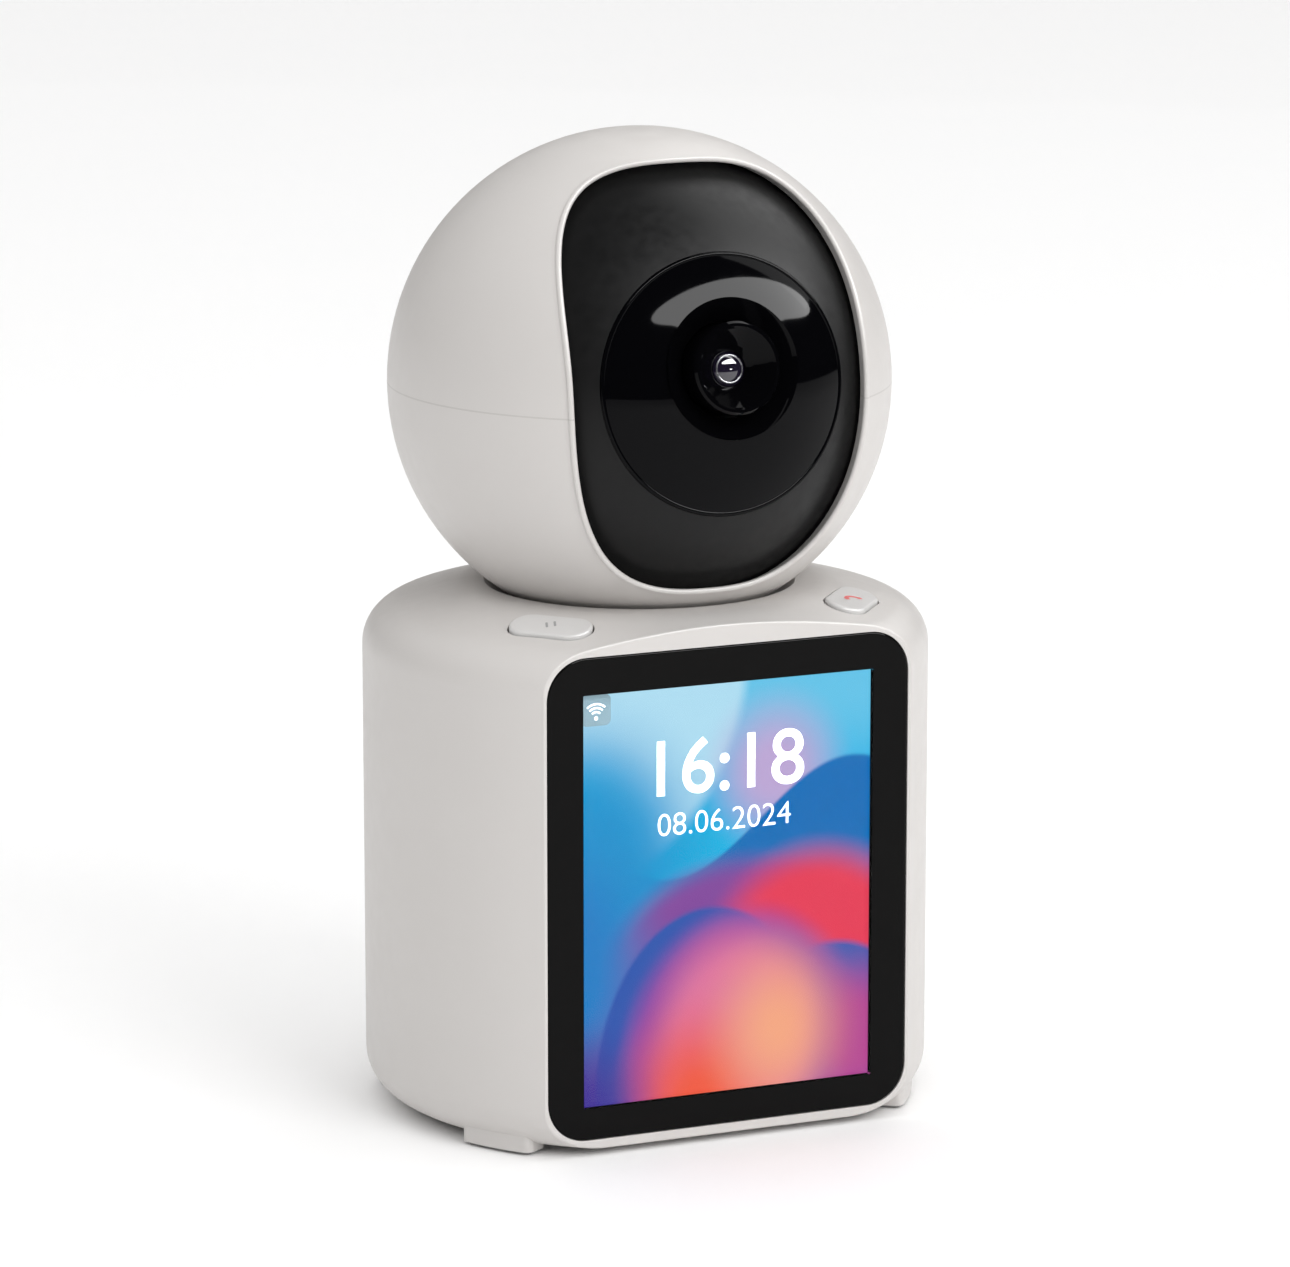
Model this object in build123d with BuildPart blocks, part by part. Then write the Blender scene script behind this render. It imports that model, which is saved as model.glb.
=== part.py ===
from build123d import *
import os
from math import atan2, cos, degrees, pi, radians, sin, sqrt, tan

# Indoor pan and tilt camera with an upright touchscreen. Millimetres, +Z up, the screen
# faces -Y. The origin is under the middle of the outer box, on the plane of the foot pads.

os.makedirs("parts", exist_ok=True)

# Column: a round tube cut flat in front, with a gently sloping top.
BODY_R = 39.5
BODY_Y = -3.7
FRONT_Y = -32.2
BACK_Y = BODY_Y + BODY_R
BODY_BOTTOM = 1.0
TOP_Z = 73.3
TOP_FLAT_R = 25.4
TOP_SLOPE = 15.0
EDGE_R = 6.0
TOP_BLEND_R = 12.0
WALL = 2.0
FLOOR_Z = BODY_BOTTOM + WALL
OPENING_R = 33.3
OPENING_FRONT_Y = FRONT_Y + 2.2
FRONT_EDGE_R = 0.3
LARGE_THREAD_R = 0.85
SMALL_THREAD_R = 0.7
SCREW_CLEAR_R = 1.0

# Ball head, its slot and the black inner drum that tilts in it.
BALL_R = 35.0
BALL_Y = -1.7
BALL_Z = 101.5
BALL_WALL = 1.7
SOCKET_R = 35.64
BOWL_TOP_Z = 72.6
SLOT_LIFT = 9.8
SLOT_HALF_W = 21.95
SLOT_HALF_H = 29.4
SLOT_POWER_TOP = 3.0
SLOT_POWER_LOW = 2.6
DRUM_R = 33.0
DRUM_WALL = 1.6
DRUM_HALF_W = 27.5
DRUM_BACK = 16.0
DRUM_LOW = -90.0
DRUM_HIGH = 112.0

# Lens and the round window around it.
WINDOW_LIFT = 7.0
WINDOW_R = 17.8
LENS_LIFT = 11.0
HOOD_R = 9.6
BARREL_R = 6.3
BARREL_TIP = 33.6
GLASS_R = 2.35
GLASS_TIP = 31.1
GLASS_RIM = 30.2
BARREL_BACK = 20.2
HOOD_FRONT = 31.9
LED_BOARD_FRONT = 25.9
LED_T = 0.8
WINDOW_LEDGE = 26.2
WINDOW_T = 1.5

# Screen.
GLASS_W = 53.74
GLASS_LOW_Z = 2.42
GLASS_HIGH_Z = 69.58
GLASS_T = 1.1
GLASS_CORNER_R = 5.7
ADHESIVE_T = 0.15
PANEL_W = 46.2
PANEL_LOW_Z = 4.6
PANEL_HIGH_Z = 66.4
PANEL_T = 1.25
PANEL_H = PANEL_HIGH_Z - PANEL_LOW_Z
PANEL_MID_Z = (PANEL_HIGH_Z + PANEL_LOW_Z) / 2
PANEL_BACK_Y = FRONT_Y + 2.4
BACKLIGHT_BACK_Y = FRONT_Y + 3.6
BRACKET_FRONT_Y = FRONT_Y + 3.8
GLASS_H = GLASS_HIGH_Z - GLASS_LOW_Z
GLASS_MID_Z = (GLASS_HIGH_Z + GLASS_LOW_Z) / 2
LIT_W = 43.2
LIT_H = 57.6
LIT_MID_Z = 35.63

# Neck and drives.
NECK_R = 7.5
NECK_BORE_R = 5.5
NECK_END_Z = 57.0
NECK_ROOT_Z = 67.8
PAN_MODULE = 0.6
PAN_TEETH = 48
PAN_PINION_TEETH = 12
TILT_MODULE = 0.5
TILT_TEETH = 30
TILT_PINION_TEETH = 12
MESH_SLACK = 0.05
PAN_MESH = PAN_MODULE * (PAN_TEETH + PAN_PINION_TEETH) / 2 + MESH_SLACK
TILT_MESH = TILT_MODULE * (TILT_TEETH + TILT_PINION_TEETH) / 2 + MESH_SLACK
TILT_MOTOR_DROP = -20.0

SLEEVE_R = 10.8
SLEEVE_LOW_Z = 60.3
SLEEVE_L = 6.5
BUSH_R = 8.26
BUSH_FLANGE_R = 8.66
BUSH_FIT = 0.04
BUSH_STEP_Z = 64.0
BUSH_TOP_Z = 66.1
WASHER_R = 8.5
WASHER_T = 0.2
RUNNING_FIT = 0.06
PAN_GEAR_LOW_Z = 57.2
PAN_GEAR_T = 2.9
PAN_SHAFT_R = 1.5
PAN_SHAFT_LOW_Z = 50.3
PAN_MOTOR_R = 12.0
PAN_MOTOR_H = 17.0
NECK_SCREW_R = 6.5
NECK_FLANGE_R = 9.5
NECK_FLANGE_T = 0.8
BRACKET_TOP_Z = 55.5
BRACKET_T = 1.5
BRACKET_BOSS_R = 2.8
BOSS_ROOT_Z = 70.6
MOTOR_EAR_T = 0.8
MOTOR_EAR_Z = BRACKET_TOP_Z - BRACKET_T - MOTOR_EAR_T
SADDLE_X = 29.4
SADDLE_R = 7.0
SADDLE_BORE_R = 5.05
SADDLE_DEPTH = 2.9
PIN_R = 2.5
PIN_L = 6.0
TILT_GEAR_T = 1.4
TILT_SHAFT_R = 1.0
TILT_MOTOR_FACE_X = -25.9
TILT_MOTOR_R = 9.0
TILT_MOTOR_H = 14.5
HEAD_SCREW_X = 14.0
HEAD_SCREW_Y = 24.0
HEAD_POST_R = 3.2
HEAD_POST_DROP = 22.0
HEAD_POST_RISE = 7.5
HEAD_JOINT_T = 6.0
CAMERA_BOARD_FRONT = 12.6
CAMERA_BOARD_T = 1.2
CAMERA_POST_R = 1.8
HOLDER_W = 16.0
HOLDER_BASE_H = 5.2

# Push buttons on the sloping top.
BUTTON_X = 22.5
BUTTON_Y = BODY_Y - 19.5
BUTTON_L = 12.0
BUTTON_W = 5.6
BUTTON_PROUD = 0.5
BUTTON_GAP = 0.25
BUTTON_LOW_Z = 67.4
BUTTON_TURN = degrees(atan2(BUTTON_X, BODY_Y - BUTTON_Y))
BUTTON_FLANGE = 0.7
BUTTON_FLANGE_T = 0.9
KEYPAD_TOP_Z = 63.6
KEYPAD_POST_R = 1.8
KEYPAD_ROOT_Z = 72.0
SWITCH_H = 2.8

# Feet and base.
FOOT_IN_R = 33.4
FOOT_OUT_R = 37.8
FOOT_W = 11.4
FOOT_LOW_Z = 0.5
FOOT_H = 4.5
PAD_T = 0.7
PAD_SEAT = 0.2
BASE_SCREW_R = 30.5
BASE_BOSS_R = 2.6
BASE_BOSS_L = 8.0
BASE_RIB_R = 34.8
BASE_SEAT_DEPTH = 1.1

# Boards.
BOARD_Z = 8.0
BOARD_T = 1.2
BOARD_TOP = BOARD_Z + BOARD_T
USB_Z = BOARD_TOP + 1.6
USB_TIP_Y = BACK_Y - 1.4
MIC_X = 12.0
CARD_Y = BODY_Y - 0.5
CARD_TIP_X = 36.0
CARD_Z = BOARD_TOP + 0.8
CABLE_R = 1.7
CABLE_LOW_Z = 16.0
CABLE_TOP_Z = 67.6
PLUG_LOW_Z = BOARD_TOP + 2.8
RESET_AT = (10, BODY_Y + 15.5)
RESET_R = 0.7
FLEX_T = 0.2
SPEAKER_Y = BACK_Y - 5.6
SPEAKER_Z = 30.0
SPEAKER_SEAT_R = 15.8
SPEAKER_POCKET_R = 14.3
SPEAKER_OPENING_R = 11.8
GRILLE_HOLE_R = 0.75
GRILLE_PITCH = 3.0

BODY_AXIS = Axis((0, BODY_Y, 0), (0, 0, 1))
BODY_SECTION = Plane.XZ.offset(-BODY_Y)
BALL = (0, BALL_Y, BALL_Z)
BALL_SECTION = Plane.XZ.offset(-BALL_Y)
BALL_AXIS = Axis(BALL, (0, 0, 1))
SPEAKER_AXIS = Axis((0, SPEAKER_Y, SPEAKER_Z), (0, 1, 0))
SPEAKER_SECTION = Plane(origin=(0, SPEAKER_Y + 0.5, SPEAKER_Z), x_dir=(1, 0, 0), z_dir=(0, 0, 1))
BUTTON_NODES = [(-1, "mute_button"), (1, "call_button")]


def front_plane(y):
    """Upright plane at depth y, whose outward side faces the front."""
    return Plane.XZ.offset(-y)


def aimed_plane(lift, distance=0.0):
    """Plane square to a line from the ball's centre that rises lift degrees in front."""
    out = Vector(0, -cos(radians(lift)), sin(radians(lift)))
    return Plane(origin=Vector(*BALL) + out * distance, x_dir=(1, 0, 0), z_dir=out)


def side_plane(x, y=BALL_Y, z=BALL_Z):
    """Plane square to the tilt axis, outward side to +X."""
    return Plane(origin=(x, y, z), x_dir=(0, 1, 0), z_dir=(1, 0, 0))


def column_profile(inset):
    """Half section of the column, closed on its axis, inset from the outer skin."""
    slope = tan(radians(TOP_SLOPE))
    lift = inset / cos(radians(TOP_SLOPE))
    radius = BODY_R - inset
    shoulder = TOP_Z - lift - (radius - TOP_FLAT_R) * slope
    flat = TOP_FLAT_R - (lift - inset) / slope
    low = BODY_BOTTOM + inset
    high = TOP_Z - inset
    corners = [(0, low), (radius, low), (radius, shoulder), (flat, high), (0, high)]
    with BuildSketch(BODY_SECTION) as section:
        with BuildLine():
            FilletPolyline(*corners, radius=[EDGE_R - inset, EDGE_R - inset, TOP_BLEND_R - inset])
            Line((0, high), (0, low))
        make_face()
    return section.sketch


def slot_outline():
    """Points of the ball's slot: an oval, squarer above its middle than below it."""
    points = []
    for step in range(36):
        turn = radians(10 * step)
        power = SLOT_POWER_TOP if step <= 18 else SLOT_POWER_LOW
        reach = (abs(cos(turn)) / SLOT_HALF_W) ** power + (abs(sin(turn)) / SLOT_HALF_H) ** power
        radius = reach ** (-1 / power)
        points.append((radius * cos(turn), radius * sin(turn)))
    return points


def gear_outline(teeth, module, turn=0.0):
    """Points of a 20 degree involute spur gear with a little backlash, first tooth on X."""
    pitch_r = teeth * module / 2
    base_r = pitch_r * cos(radians(20))
    tip_r = pitch_r + 0.85 * module
    root_r = pitch_r - 1.15 * module
    half_tooth = pi / (2 * teeth) - 0.06 * module / pitch_r

    def swing(radius):
        """Angle of the involute at a radius, from where it leaves the base circle."""
        if radius <= base_r:
            return 0.0
        roll = sqrt((radius / base_r) ** 2 - 1)
        return roll - atan2(roll, 1)

    start_r = max(root_r, base_r)
    flank = [start_r + (tip_r - start_r) * k / 3 for k in range(4)]
    if root_r < base_r:
        flank = [root_r] + flank
    points = []
    for tooth in range(teeth):
        middle = radians(turn) + 2 * pi * tooth / teeth
        edge = [(r, half_tooth + swing(pitch_r) - swing(r)) for r in flank]
        rising = [(r, middle - angle) for r, angle in edge]
        falling = [(r, middle + angle) for r, angle in reversed(edge)]
        points += [(r * cos(angle), r * sin(angle)) for r, angle in rising + falling]
    return points


def lens_cap_point(tip, rise):
    """Point half way out on a lens cap that starts at tip on the axis and rises to its edge."""
    radius = (GLASS_R**2 + rise**2) / (2 * abs(rise))
    drop = radius - sqrt(radius**2 - (GLASS_R / 2) ** 2)
    return (GLASS_R / 2, tip + (drop if rise > 0 else -drop))


def screw(head_r, head_h, shank_r, shank_l):
    """Cross-head screw with its head above the XY plane and its shank below."""
    with BuildPart(mode=Mode.PRIVATE) as body:
        with BuildSketch(Plane.XY):
            Circle(head_r)
        extrude(amount=head_h)
        fillet(body.edges().group_by(Axis.Z)[-1], head_h * 0.45)
        with BuildSketch(Plane.XY):
            Circle(shank_r)
        extrude(amount=-shank_l)
        with BuildSketch(Plane.XY.offset(head_h)):
            Rectangle(head_r * 1.1, head_r * 0.24)
            Rectangle(head_r * 0.24, head_r * 1.1)
        extrude(amount=-head_h * 0.5, mode=Mode.SUBTRACT)
    return body.part


def pad_outline(turn, inset):
    """Rubber pad under the foot at a turn from the front, inset from its pocket."""
    with BuildSketch() as pad:
        with Locations((0, BODY_Y)):
            Circle(FOOT_OUT_R - 0.6 - inset)
            Circle(FOOT_IN_R + 0.4 + inset, mode=Mode.SUBTRACT)
        with Locations(Location((0, BODY_Y), turn - 90)):
            with Locations((FOOT_OUT_R, 0)):
                Rectangle(12, FOOT_W - 1.2 - 2 * inset, mode=Mode.INTERSECT)
        fillet(pad.vertices(), 0.8)
    return pad.sketch


# Places shared by the column's bosses and what is screwed to them.
base_screw_turns = [-55, 55, 120, -120]
base_screws_at = [
    (BASE_SCREW_R * sin(radians(a)), BODY_Y - BASE_SCREW_R * cos(radians(a)))
    for a in base_screw_turns
]
bracket_bosses_at = [(-30, BALL_Y - 8.5), (-30, BALL_Y + 8.5), (-10, BALL_Y + 24.5)]
display_bosses_at = [(x, z) for x in (-25, 25) for z in (9, 61)]
keypad_posts_at = [(-12, BUTTON_Y - 1), (12, BUTTON_Y - 1)]
standoffs_at = [(x, BODY_Y + y) for x in (-18, 18) for y in (-14.5, 21.5)]
foot_turns = [-57, 57, 123, -123]
button_sides = [-1, 1]
pan_motor_at = (-PAN_MESH, BALL_Y)
motor_ears_at = [(-PAN_MESH, BALL_Y + reach) for reach in (-15.5, 15.5)]
flex_front_y = FRONT_Y + 2.1
flex_back_y = FRONT_Y + 5.6
flex_route = [
    (flex_front_y, PANEL_LOW_Z - 0.1),
    (flex_front_y, 3.7),
    (flex_back_y, 3.7),
    (flex_back_y, BOARD_TOP + 1),
    (BODY_Y - 20.5, BOARD_TOP + 1),
]

# Places in the head, in the plane that each belongs to.
head_screws_at = [(side * HEAD_SCREW_X, BALL_Y + HEAD_SCREW_Y) for side in (-1, 1)]
camera_posts_at = [(x, y) for x in (-15, 15) for y in (-12, 12)]
infrared_at = [(-12.5, -4), (12.5, -4), (-12.8, 2), (12.8, 2)]
white_leds_at = [(-6.5, -11.5), (6.5, -11.5)]
tilt_motor_at = (
    TILT_MESH * cos(radians(TILT_MOTOR_DROP)),
    TILT_MESH * sin(radians(TILT_MOTOR_DROP)),
)
tilt_ears_at = [
    (
        tilt_motor_at[0] + reach * cos(radians(TILT_MOTOR_DROP + 90)),
        tilt_motor_at[1] + reach * sin(radians(TILT_MOTOR_DROP + 90)),
    )
    for reach in (-11, 11)
]
LENS_OUT = aimed_plane(LENS_LIFT).z_dir
LENS_AXIS = Axis(BALL, LENS_OUT)
LENS_SECTION = Plane(origin=BALL, x_dir=(1, 0, 0), z_dir=Vector(1, 0, 0).cross(LENS_OUT))

# ---------------------------------------------------------------- column, fixed

with BuildPart() as column_cavity:
    add(column_profile(WALL))
    revolve(axis=BODY_AXIS)
    split(bisect_by=front_plane(FRONT_Y + WALL), keep=Keep.BOTTOM)

with BuildPart() as column_skin:
    add(column_profile(0.0))
    revolve(axis=BODY_AXIS)
    split(bisect_by=front_plane(FRONT_Y), keep=Keep.BOTTOM)
    front_edges = column_skin.faces().sort_by(Axis.Y)[0].edges()
    fillet(front_edges, FRONT_EDGE_R)

with BuildPart() as bowl_wall:
    with BuildSketch(BALL_SECTION):
        with BuildLine():
            reach = SOCKET_R + WALL
            bowl_edge = sqrt(reach**2 - (BALL_Z - BOWL_TOP_Z) ** 2)
            RadiusArc((0, BALL_Z - reach), (bowl_edge, BOWL_TOP_Z), -reach)
            Line((bowl_edge, BOWL_TOP_Z), (0, BOWL_TOP_Z))
            Line((0, BOWL_TOP_Z), (0, BALL_Z - reach))
        make_face()
    revolve(axis=BALL_AXIS)

with BuildPart() as speaker_seat:
    with BuildSketch(front_plane(SPEAKER_Y - 5.4)):
        with Locations((0, SPEAKER_Z)):
            Circle(SPEAKER_SEAT_R)
            Circle(SPEAKER_POCKET_R, mode=Mode.SUBTRACT)
    extrude(amount=-12)
    with BuildSketch(front_plane(SPEAKER_Y)):
        with Locations((0, SPEAKER_Z)):
            Circle(SPEAKER_SEAT_R)
            Circle(SPEAKER_OPENING_R, mode=Mode.SUBTRACT)
    extrude(amount=-6)
    add(column_skin.part, mode=Mode.INTERSECT)

with BuildPart() as body_shell:
    add(column_skin.part)
    add(column_cavity.part, mode=Mode.SUBTRACT)
    # Opening for the base plate.
    with BuildSketch(Plane.XY):
        with Locations((0, BODY_Y)):
            Circle(OPENING_R)
        with Locations((0, OPENING_FRONT_Y - 5)):
            Rectangle(2 * OPENING_R, 10, mode=Mode.SUBTRACT)
    extrude(amount=FLOOR_Z + 0.5, mode=Mode.SUBTRACT)
    # Socket bowl, and the sleeve that holds the neck's bush.
    add(bowl_wall.part)
    with BuildSketch(Plane.XY.offset(SLEEVE_LOW_Z)):
        with Locations((0, BALL_Y)):
            Circle(SLEEVE_R)
    extrude(amount=SLEEVE_L)
    # Bosses for the base screws, each with a rib to the wall.
    for turn in base_screw_turns:
        with BuildSketch(Plane.XY.offset(FLOOR_Z + 0.05)):
            with Locations(Location((0, BODY_Y), turn - 90)):
                with Locations((BASE_SCREW_R, 0)):
                    Circle(BASE_BOSS_R)
                with Locations((BASE_RIB_R, 0)):
                    Rectangle(6.4, 1.6)
        extrude(amount=BASE_BOSS_L)
    # Bosses for the pan motor's bracket, and posts for the keypad board.
    with BuildSketch(Plane.XY.offset(BRACKET_TOP_Z)):
        with Locations(*bracket_bosses_at):
            Circle(BRACKET_BOSS_R)
    extrude(amount=BOSS_ROOT_Z - BRACKET_TOP_Z)
    with BuildSketch(Plane.XY.offset(KEYPAD_TOP_Z)):
        with Locations(*keypad_posts_at):
            Circle(KEYPAD_POST_R)
    extrude(amount=KEYPAD_ROOT_Z - KEYPAD_TOP_Z)
    # Bosses beside the screen's window.
    with BuildSketch(front_plane(FRONT_Y + WALL)):
        with Locations(*display_bosses_at):
            Circle(1.55)
    extrude(amount=-1.8)
    add(speaker_seat.part)
    # Feet: lugs under the rounded bottom edge.
    for turn in foot_turns:
        with BuildSketch(Plane.XY.offset(FOOT_LOW_Z)) as foot:
            with Locations((0, BODY_Y)):
                Circle(FOOT_OUT_R)
                Circle(FOOT_IN_R, mode=Mode.SUBTRACT)
            with Locations(Location((0, BODY_Y), turn - 90)):
                with Locations((FOOT_OUT_R, 0)):
                    Rectangle(12, FOOT_W, mode=Mode.INTERSECT)
            fillet(foot.vertices(), 1.2)
        extrude(amount=FOOT_H)
    # Socket and stepped neck hole.
    with Locations(BALL):
        Sphere(SOCKET_R, mode=Mode.SUBTRACT)
    with BuildSketch(Plane.XY.offset(SLEEVE_LOW_Z)):
        with Locations((0, BALL_Y)):
            Circle(BUSH_R + BUSH_FIT)
    extrude(amount=10, mode=Mode.SUBTRACT)
    with BuildSketch(Plane.XY.offset(BUSH_STEP_Z)):
        with Locations((0, BALL_Y)):
            Circle(BUSH_FLANGE_R + BUSH_FIT)
    extrude(amount=6, mode=Mode.SUBTRACT)
    # Window for the panel, and the pocket for the glass in front of it.
    with BuildSketch(front_plane(FRONT_Y + WALL + 1)):
        with Locations((0, PANEL_MID_Z)):
            Rectangle(PANEL_W + 0.6, PANEL_H + 0.8)
    extrude(amount=5, mode=Mode.SUBTRACT)
    with BuildSketch(front_plane(FRONT_Y + GLASS_T + ADHESIVE_T)):
        with Locations((0, GLASS_MID_Z)):
            RectangleRounded(GLASS_W + 0.12, GLASS_H + 0.12, GLASS_CORNER_R + 0.06)
    extrude(amount=3, mode=Mode.SUBTRACT)
    # Button holes, straight down through the sloping top.
    for side in button_sides:
        with BuildSketch(Plane.XY.offset(60)):
            with Locations(Location((side * BUTTON_X, BUTTON_Y), side * BUTTON_TURN)):
                SlotOverall(BUTTON_L + 2 * BUTTON_GAP, BUTTON_W + 2 * BUTTON_GAP)
        extrude(amount=20, mode=Mode.SUBTRACT)
    # Back: charging port, microphone hole and speaker grille.
    with BuildSketch(front_plane(BACK_Y + 1)):
        with Locations((0, USB_Z)):
            SlotOverall(10.0, 4.2)
        with Locations((MIC_X, BOARD_TOP + 0.8)):
            Circle(0.6)
        with Locations((0, SPEAKER_Z)):
            Circle(GRILLE_HOLE_R)
        for ring in range(1, 4):
            with Locations((0, SPEAKER_Z)):
                with PolarLocations(GRILLE_PITCH * ring, 6 * ring):
                    Circle(GRILLE_HOLE_R)
    extrude(amount=8, mode=Mode.SUBTRACT)
    # Memory card slot in the right side.
    with BuildSketch(side_plane(45, CARD_Y, CARD_Z)):
        Rectangle(12.6, 1.5)
    extrude(amount=-10, mode=Mode.SUBTRACT)
    # Screw holes, and pockets for the foot pads.
    with BuildSketch(Plane.XY):
        with Locations(*base_screws_at):
            Circle(LARGE_THREAD_R)
    extrude(amount=9, mode=Mode.SUBTRACT)
    with BuildSketch(Plane.XY.offset(BRACKET_TOP_Z)):
        with Locations(*bracket_bosses_at):
            Circle(LARGE_THREAD_R)
    extrude(amount=6, mode=Mode.SUBTRACT)
    with BuildSketch(Plane.XY.offset(KEYPAD_TOP_Z)):
        with Locations(*keypad_posts_at):
            Circle(SMALL_THREAD_R)
    extrude(amount=4, mode=Mode.SUBTRACT)
    with BuildSketch(front_plane(BRACKET_FRONT_Y)):
        with Locations(*display_bosses_at):
            Circle(SMALL_THREAD_R)
    extrude(amount=1.7, mode=Mode.SUBTRACT)
    for turn in foot_turns:
        with BuildSketch(Plane.XY.offset(FOOT_LOW_Z)):
            add(pad_outline(turn, 0.0))
        extrude(amount=PAD_SEAT, mode=Mode.SUBTRACT)
body_shell.part.label = "body_shell"
export_step(body_shell.part, "parts/body_shell.step")

with BuildPart() as foot_pads:
    for turn in foot_turns:
        with BuildSketch(Plane.XY):
            add(pad_outline(turn, 0.05))
        extrude(amount=PAD_T)
    fillet(foot_pads.edges().group_by(Axis.Z)[0], 0.2)
foot_pads.part.label = "foot_pads"
export_step(foot_pads.part, "parts/foot_pads.step")

with BuildPart() as base_plate:
    with BuildSketch(Plane.XY.offset(BODY_BOTTOM)):
        with Locations((0, BODY_Y)):
            Circle(OPENING_R - 0.15)
        with Locations((0, OPENING_FRONT_Y - 5 + 0.15)):
            Rectangle(2 * OPENING_R, 10, mode=Mode.SUBTRACT)
    extrude(amount=WALL)
    with BuildSketch(Plane.XY.offset(FLOOR_Z)):
        with Locations(*standoffs_at):
            Circle(2.2)
    extrude(amount=BOARD_Z - FLOOR_Z)
    with BuildSketch(Plane.XY.offset(BODY_BOTTOM)):
        with Locations(*base_screws_at):
            Circle(2.0)
    extrude(amount=BASE_SEAT_DEPTH, mode=Mode.SUBTRACT)
    with BuildSketch(Plane.XY.offset(BODY_BOTTOM)):
        with Locations(*base_screws_at):
            Circle(SCREW_CLEAR_R)
        with Locations(RESET_AT):
            Circle(0.9)
        for row in range(-2, 3):
            with Locations((0, BODY_Y + 6 * row)):
                SlotOverall(16, 1.6)
    extrude(amount=WALL, mode=Mode.SUBTRACT)
    with BuildSketch(Plane.XY.offset(BOARD_Z)):
        with Locations(*standoffs_at):
            Circle(0.8)
    extrude(amount=-4, mode=Mode.SUBTRACT)
base_plate.part.label = "base_plate"
export_step(base_plate.part, "parts/base_plate.step")

with BuildPart() as base_screws:
    seat_z = BODY_BOTTOM + BASE_SEAT_DEPTH
    with Locations(*[Location((x, y, seat_z), (180, 0, 0)) for x, y in base_screws_at]):
        add(screw(1.8, 0.9, LARGE_THREAD_R, 6.5))
base_screws.part.label = "base_screws"
export_step(base_screws.part, "parts/base_screws.step")

# ---------------------------------------------------------------- screen, fixed

with BuildPart() as screen_glass:
    with BuildSketch(front_plane(FRONT_Y + GLASS_T)):
        with Locations((0, GLASS_MID_Z)):
            RectangleRounded(GLASS_W, GLASS_H, GLASS_CORNER_R)
    extrude(amount=GLASS_T)
    fillet(screen_glass.edges().group_by(Axis.Y)[0], 0.2)
screen_glass.part.label = "screen_glass"
export_step(screen_glass.part, "parts/screen_glass.step")

with BuildPart() as display_adhesive:
    with BuildSketch(front_plane(FRONT_Y + GLASS_T + ADHESIVE_T)):
        with Locations((0, GLASS_MID_Z)):
            RectangleRounded(GLASS_W - 0.5, GLASS_H - 0.5, GLASS_CORNER_R - 0.3)
        with Locations((0, PANEL_MID_Z)):
            Rectangle(PANEL_W + 0.8, PANEL_H + 1.0, mode=Mode.SUBTRACT)
    extrude(amount=ADHESIVE_T)
display_adhesive.part.label = "display_adhesive"
export_step(display_adhesive.part, "parts/display_adhesive.step")

with BuildPart() as display_panel:
    with BuildSketch(front_plane(PANEL_BACK_Y)):
        with Locations((0, PANEL_MID_Z)):
            Rectangle(PANEL_W, PANEL_H)
    extrude(amount=PANEL_T)
    # The polariser stands a hair proud over the lit area.
    with BuildSketch(front_plane(PANEL_BACK_Y - PANEL_T)):
        with Locations((0, LIT_MID_Z)):
            Rectangle(LIT_W, LIT_H)
    extrude(amount=0.03)
display_panel.part.label = "display_panel"
export_step(display_panel.part, "parts/display_panel.step")

with BuildPart() as display_backlight:
    with BuildSketch(front_plane(BACKLIGHT_BACK_Y)):
        with Locations((0, PANEL_MID_Z)):
            RectangleRounded(PANEL_W, PANEL_H, 0.5)
    extrude(amount=BACKLIGHT_BACK_Y - PANEL_BACK_Y)
    with BuildSketch(front_plane(BACKLIGHT_BACK_Y)):
        with Locations((0, PANEL_MID_Z)):
            RectangleRounded(PANEL_W - 5, PANEL_H - 5, 1.5)
    extrude(amount=0.3, mode=Mode.SUBTRACT)
display_backlight.part.label = "display_backlight"
export_step(display_backlight.part, "parts/display_backlight.step")

with BuildPart() as display_flex:
    with BuildSketch(Plane.YZ):
        for start, end in zip(flex_route, flex_route[1:]):
            middle = ((start[0] + end[0]) / 2, (start[1] + end[1]) / 2)
            with Locations(middle):
                Rectangle(abs(end[0] - start[0]) + FLEX_T, abs(end[1] - start[1]) + FLEX_T)
    extrude(amount=8, both=True)
display_flex.part.label = "display_flex"
export_step(display_flex.part, "parts/display_flex.step")

with BuildPart() as display_bracket:
    with BuildSketch(front_plane(BRACKET_FRONT_Y + 1.2)):
        with Locations((0, 35)):
            RectangleRounded(53.2, 59.5, 2)
            RectangleRounded(30, 36, 3, mode=Mode.SUBTRACT)
        with Locations(*display_bosses_at):
            Circle(0.8, mode=Mode.SUBTRACT)
    extrude(amount=1.2)
    with BuildSketch(front_plane(BRACKET_FRONT_Y + 1.2)):
        with Locations((0, 12), (0, 58)):
            RectangleRounded(36, 1.6, 0.6)
    extrude(amount=-1.2)
display_bracket.part.label = "display_bracket"
export_step(display_bracket.part, "parts/display_bracket.step")

with BuildPart() as display_screws:
    bracket_back = BRACKET_FRONT_Y + 1.2
    with Locations(*[Location((x, bracket_back, z), (-90, 0, 0)) for x, z in display_bosses_at]):
        add(screw(1.4, 0.8, SMALL_THREAD_R, 2.8))
display_screws.part.label = "display_screws"
export_step(display_screws.part, "parts/display_screws.step")

# ---------------------------------------------------------------- electronics, fixed

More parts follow.
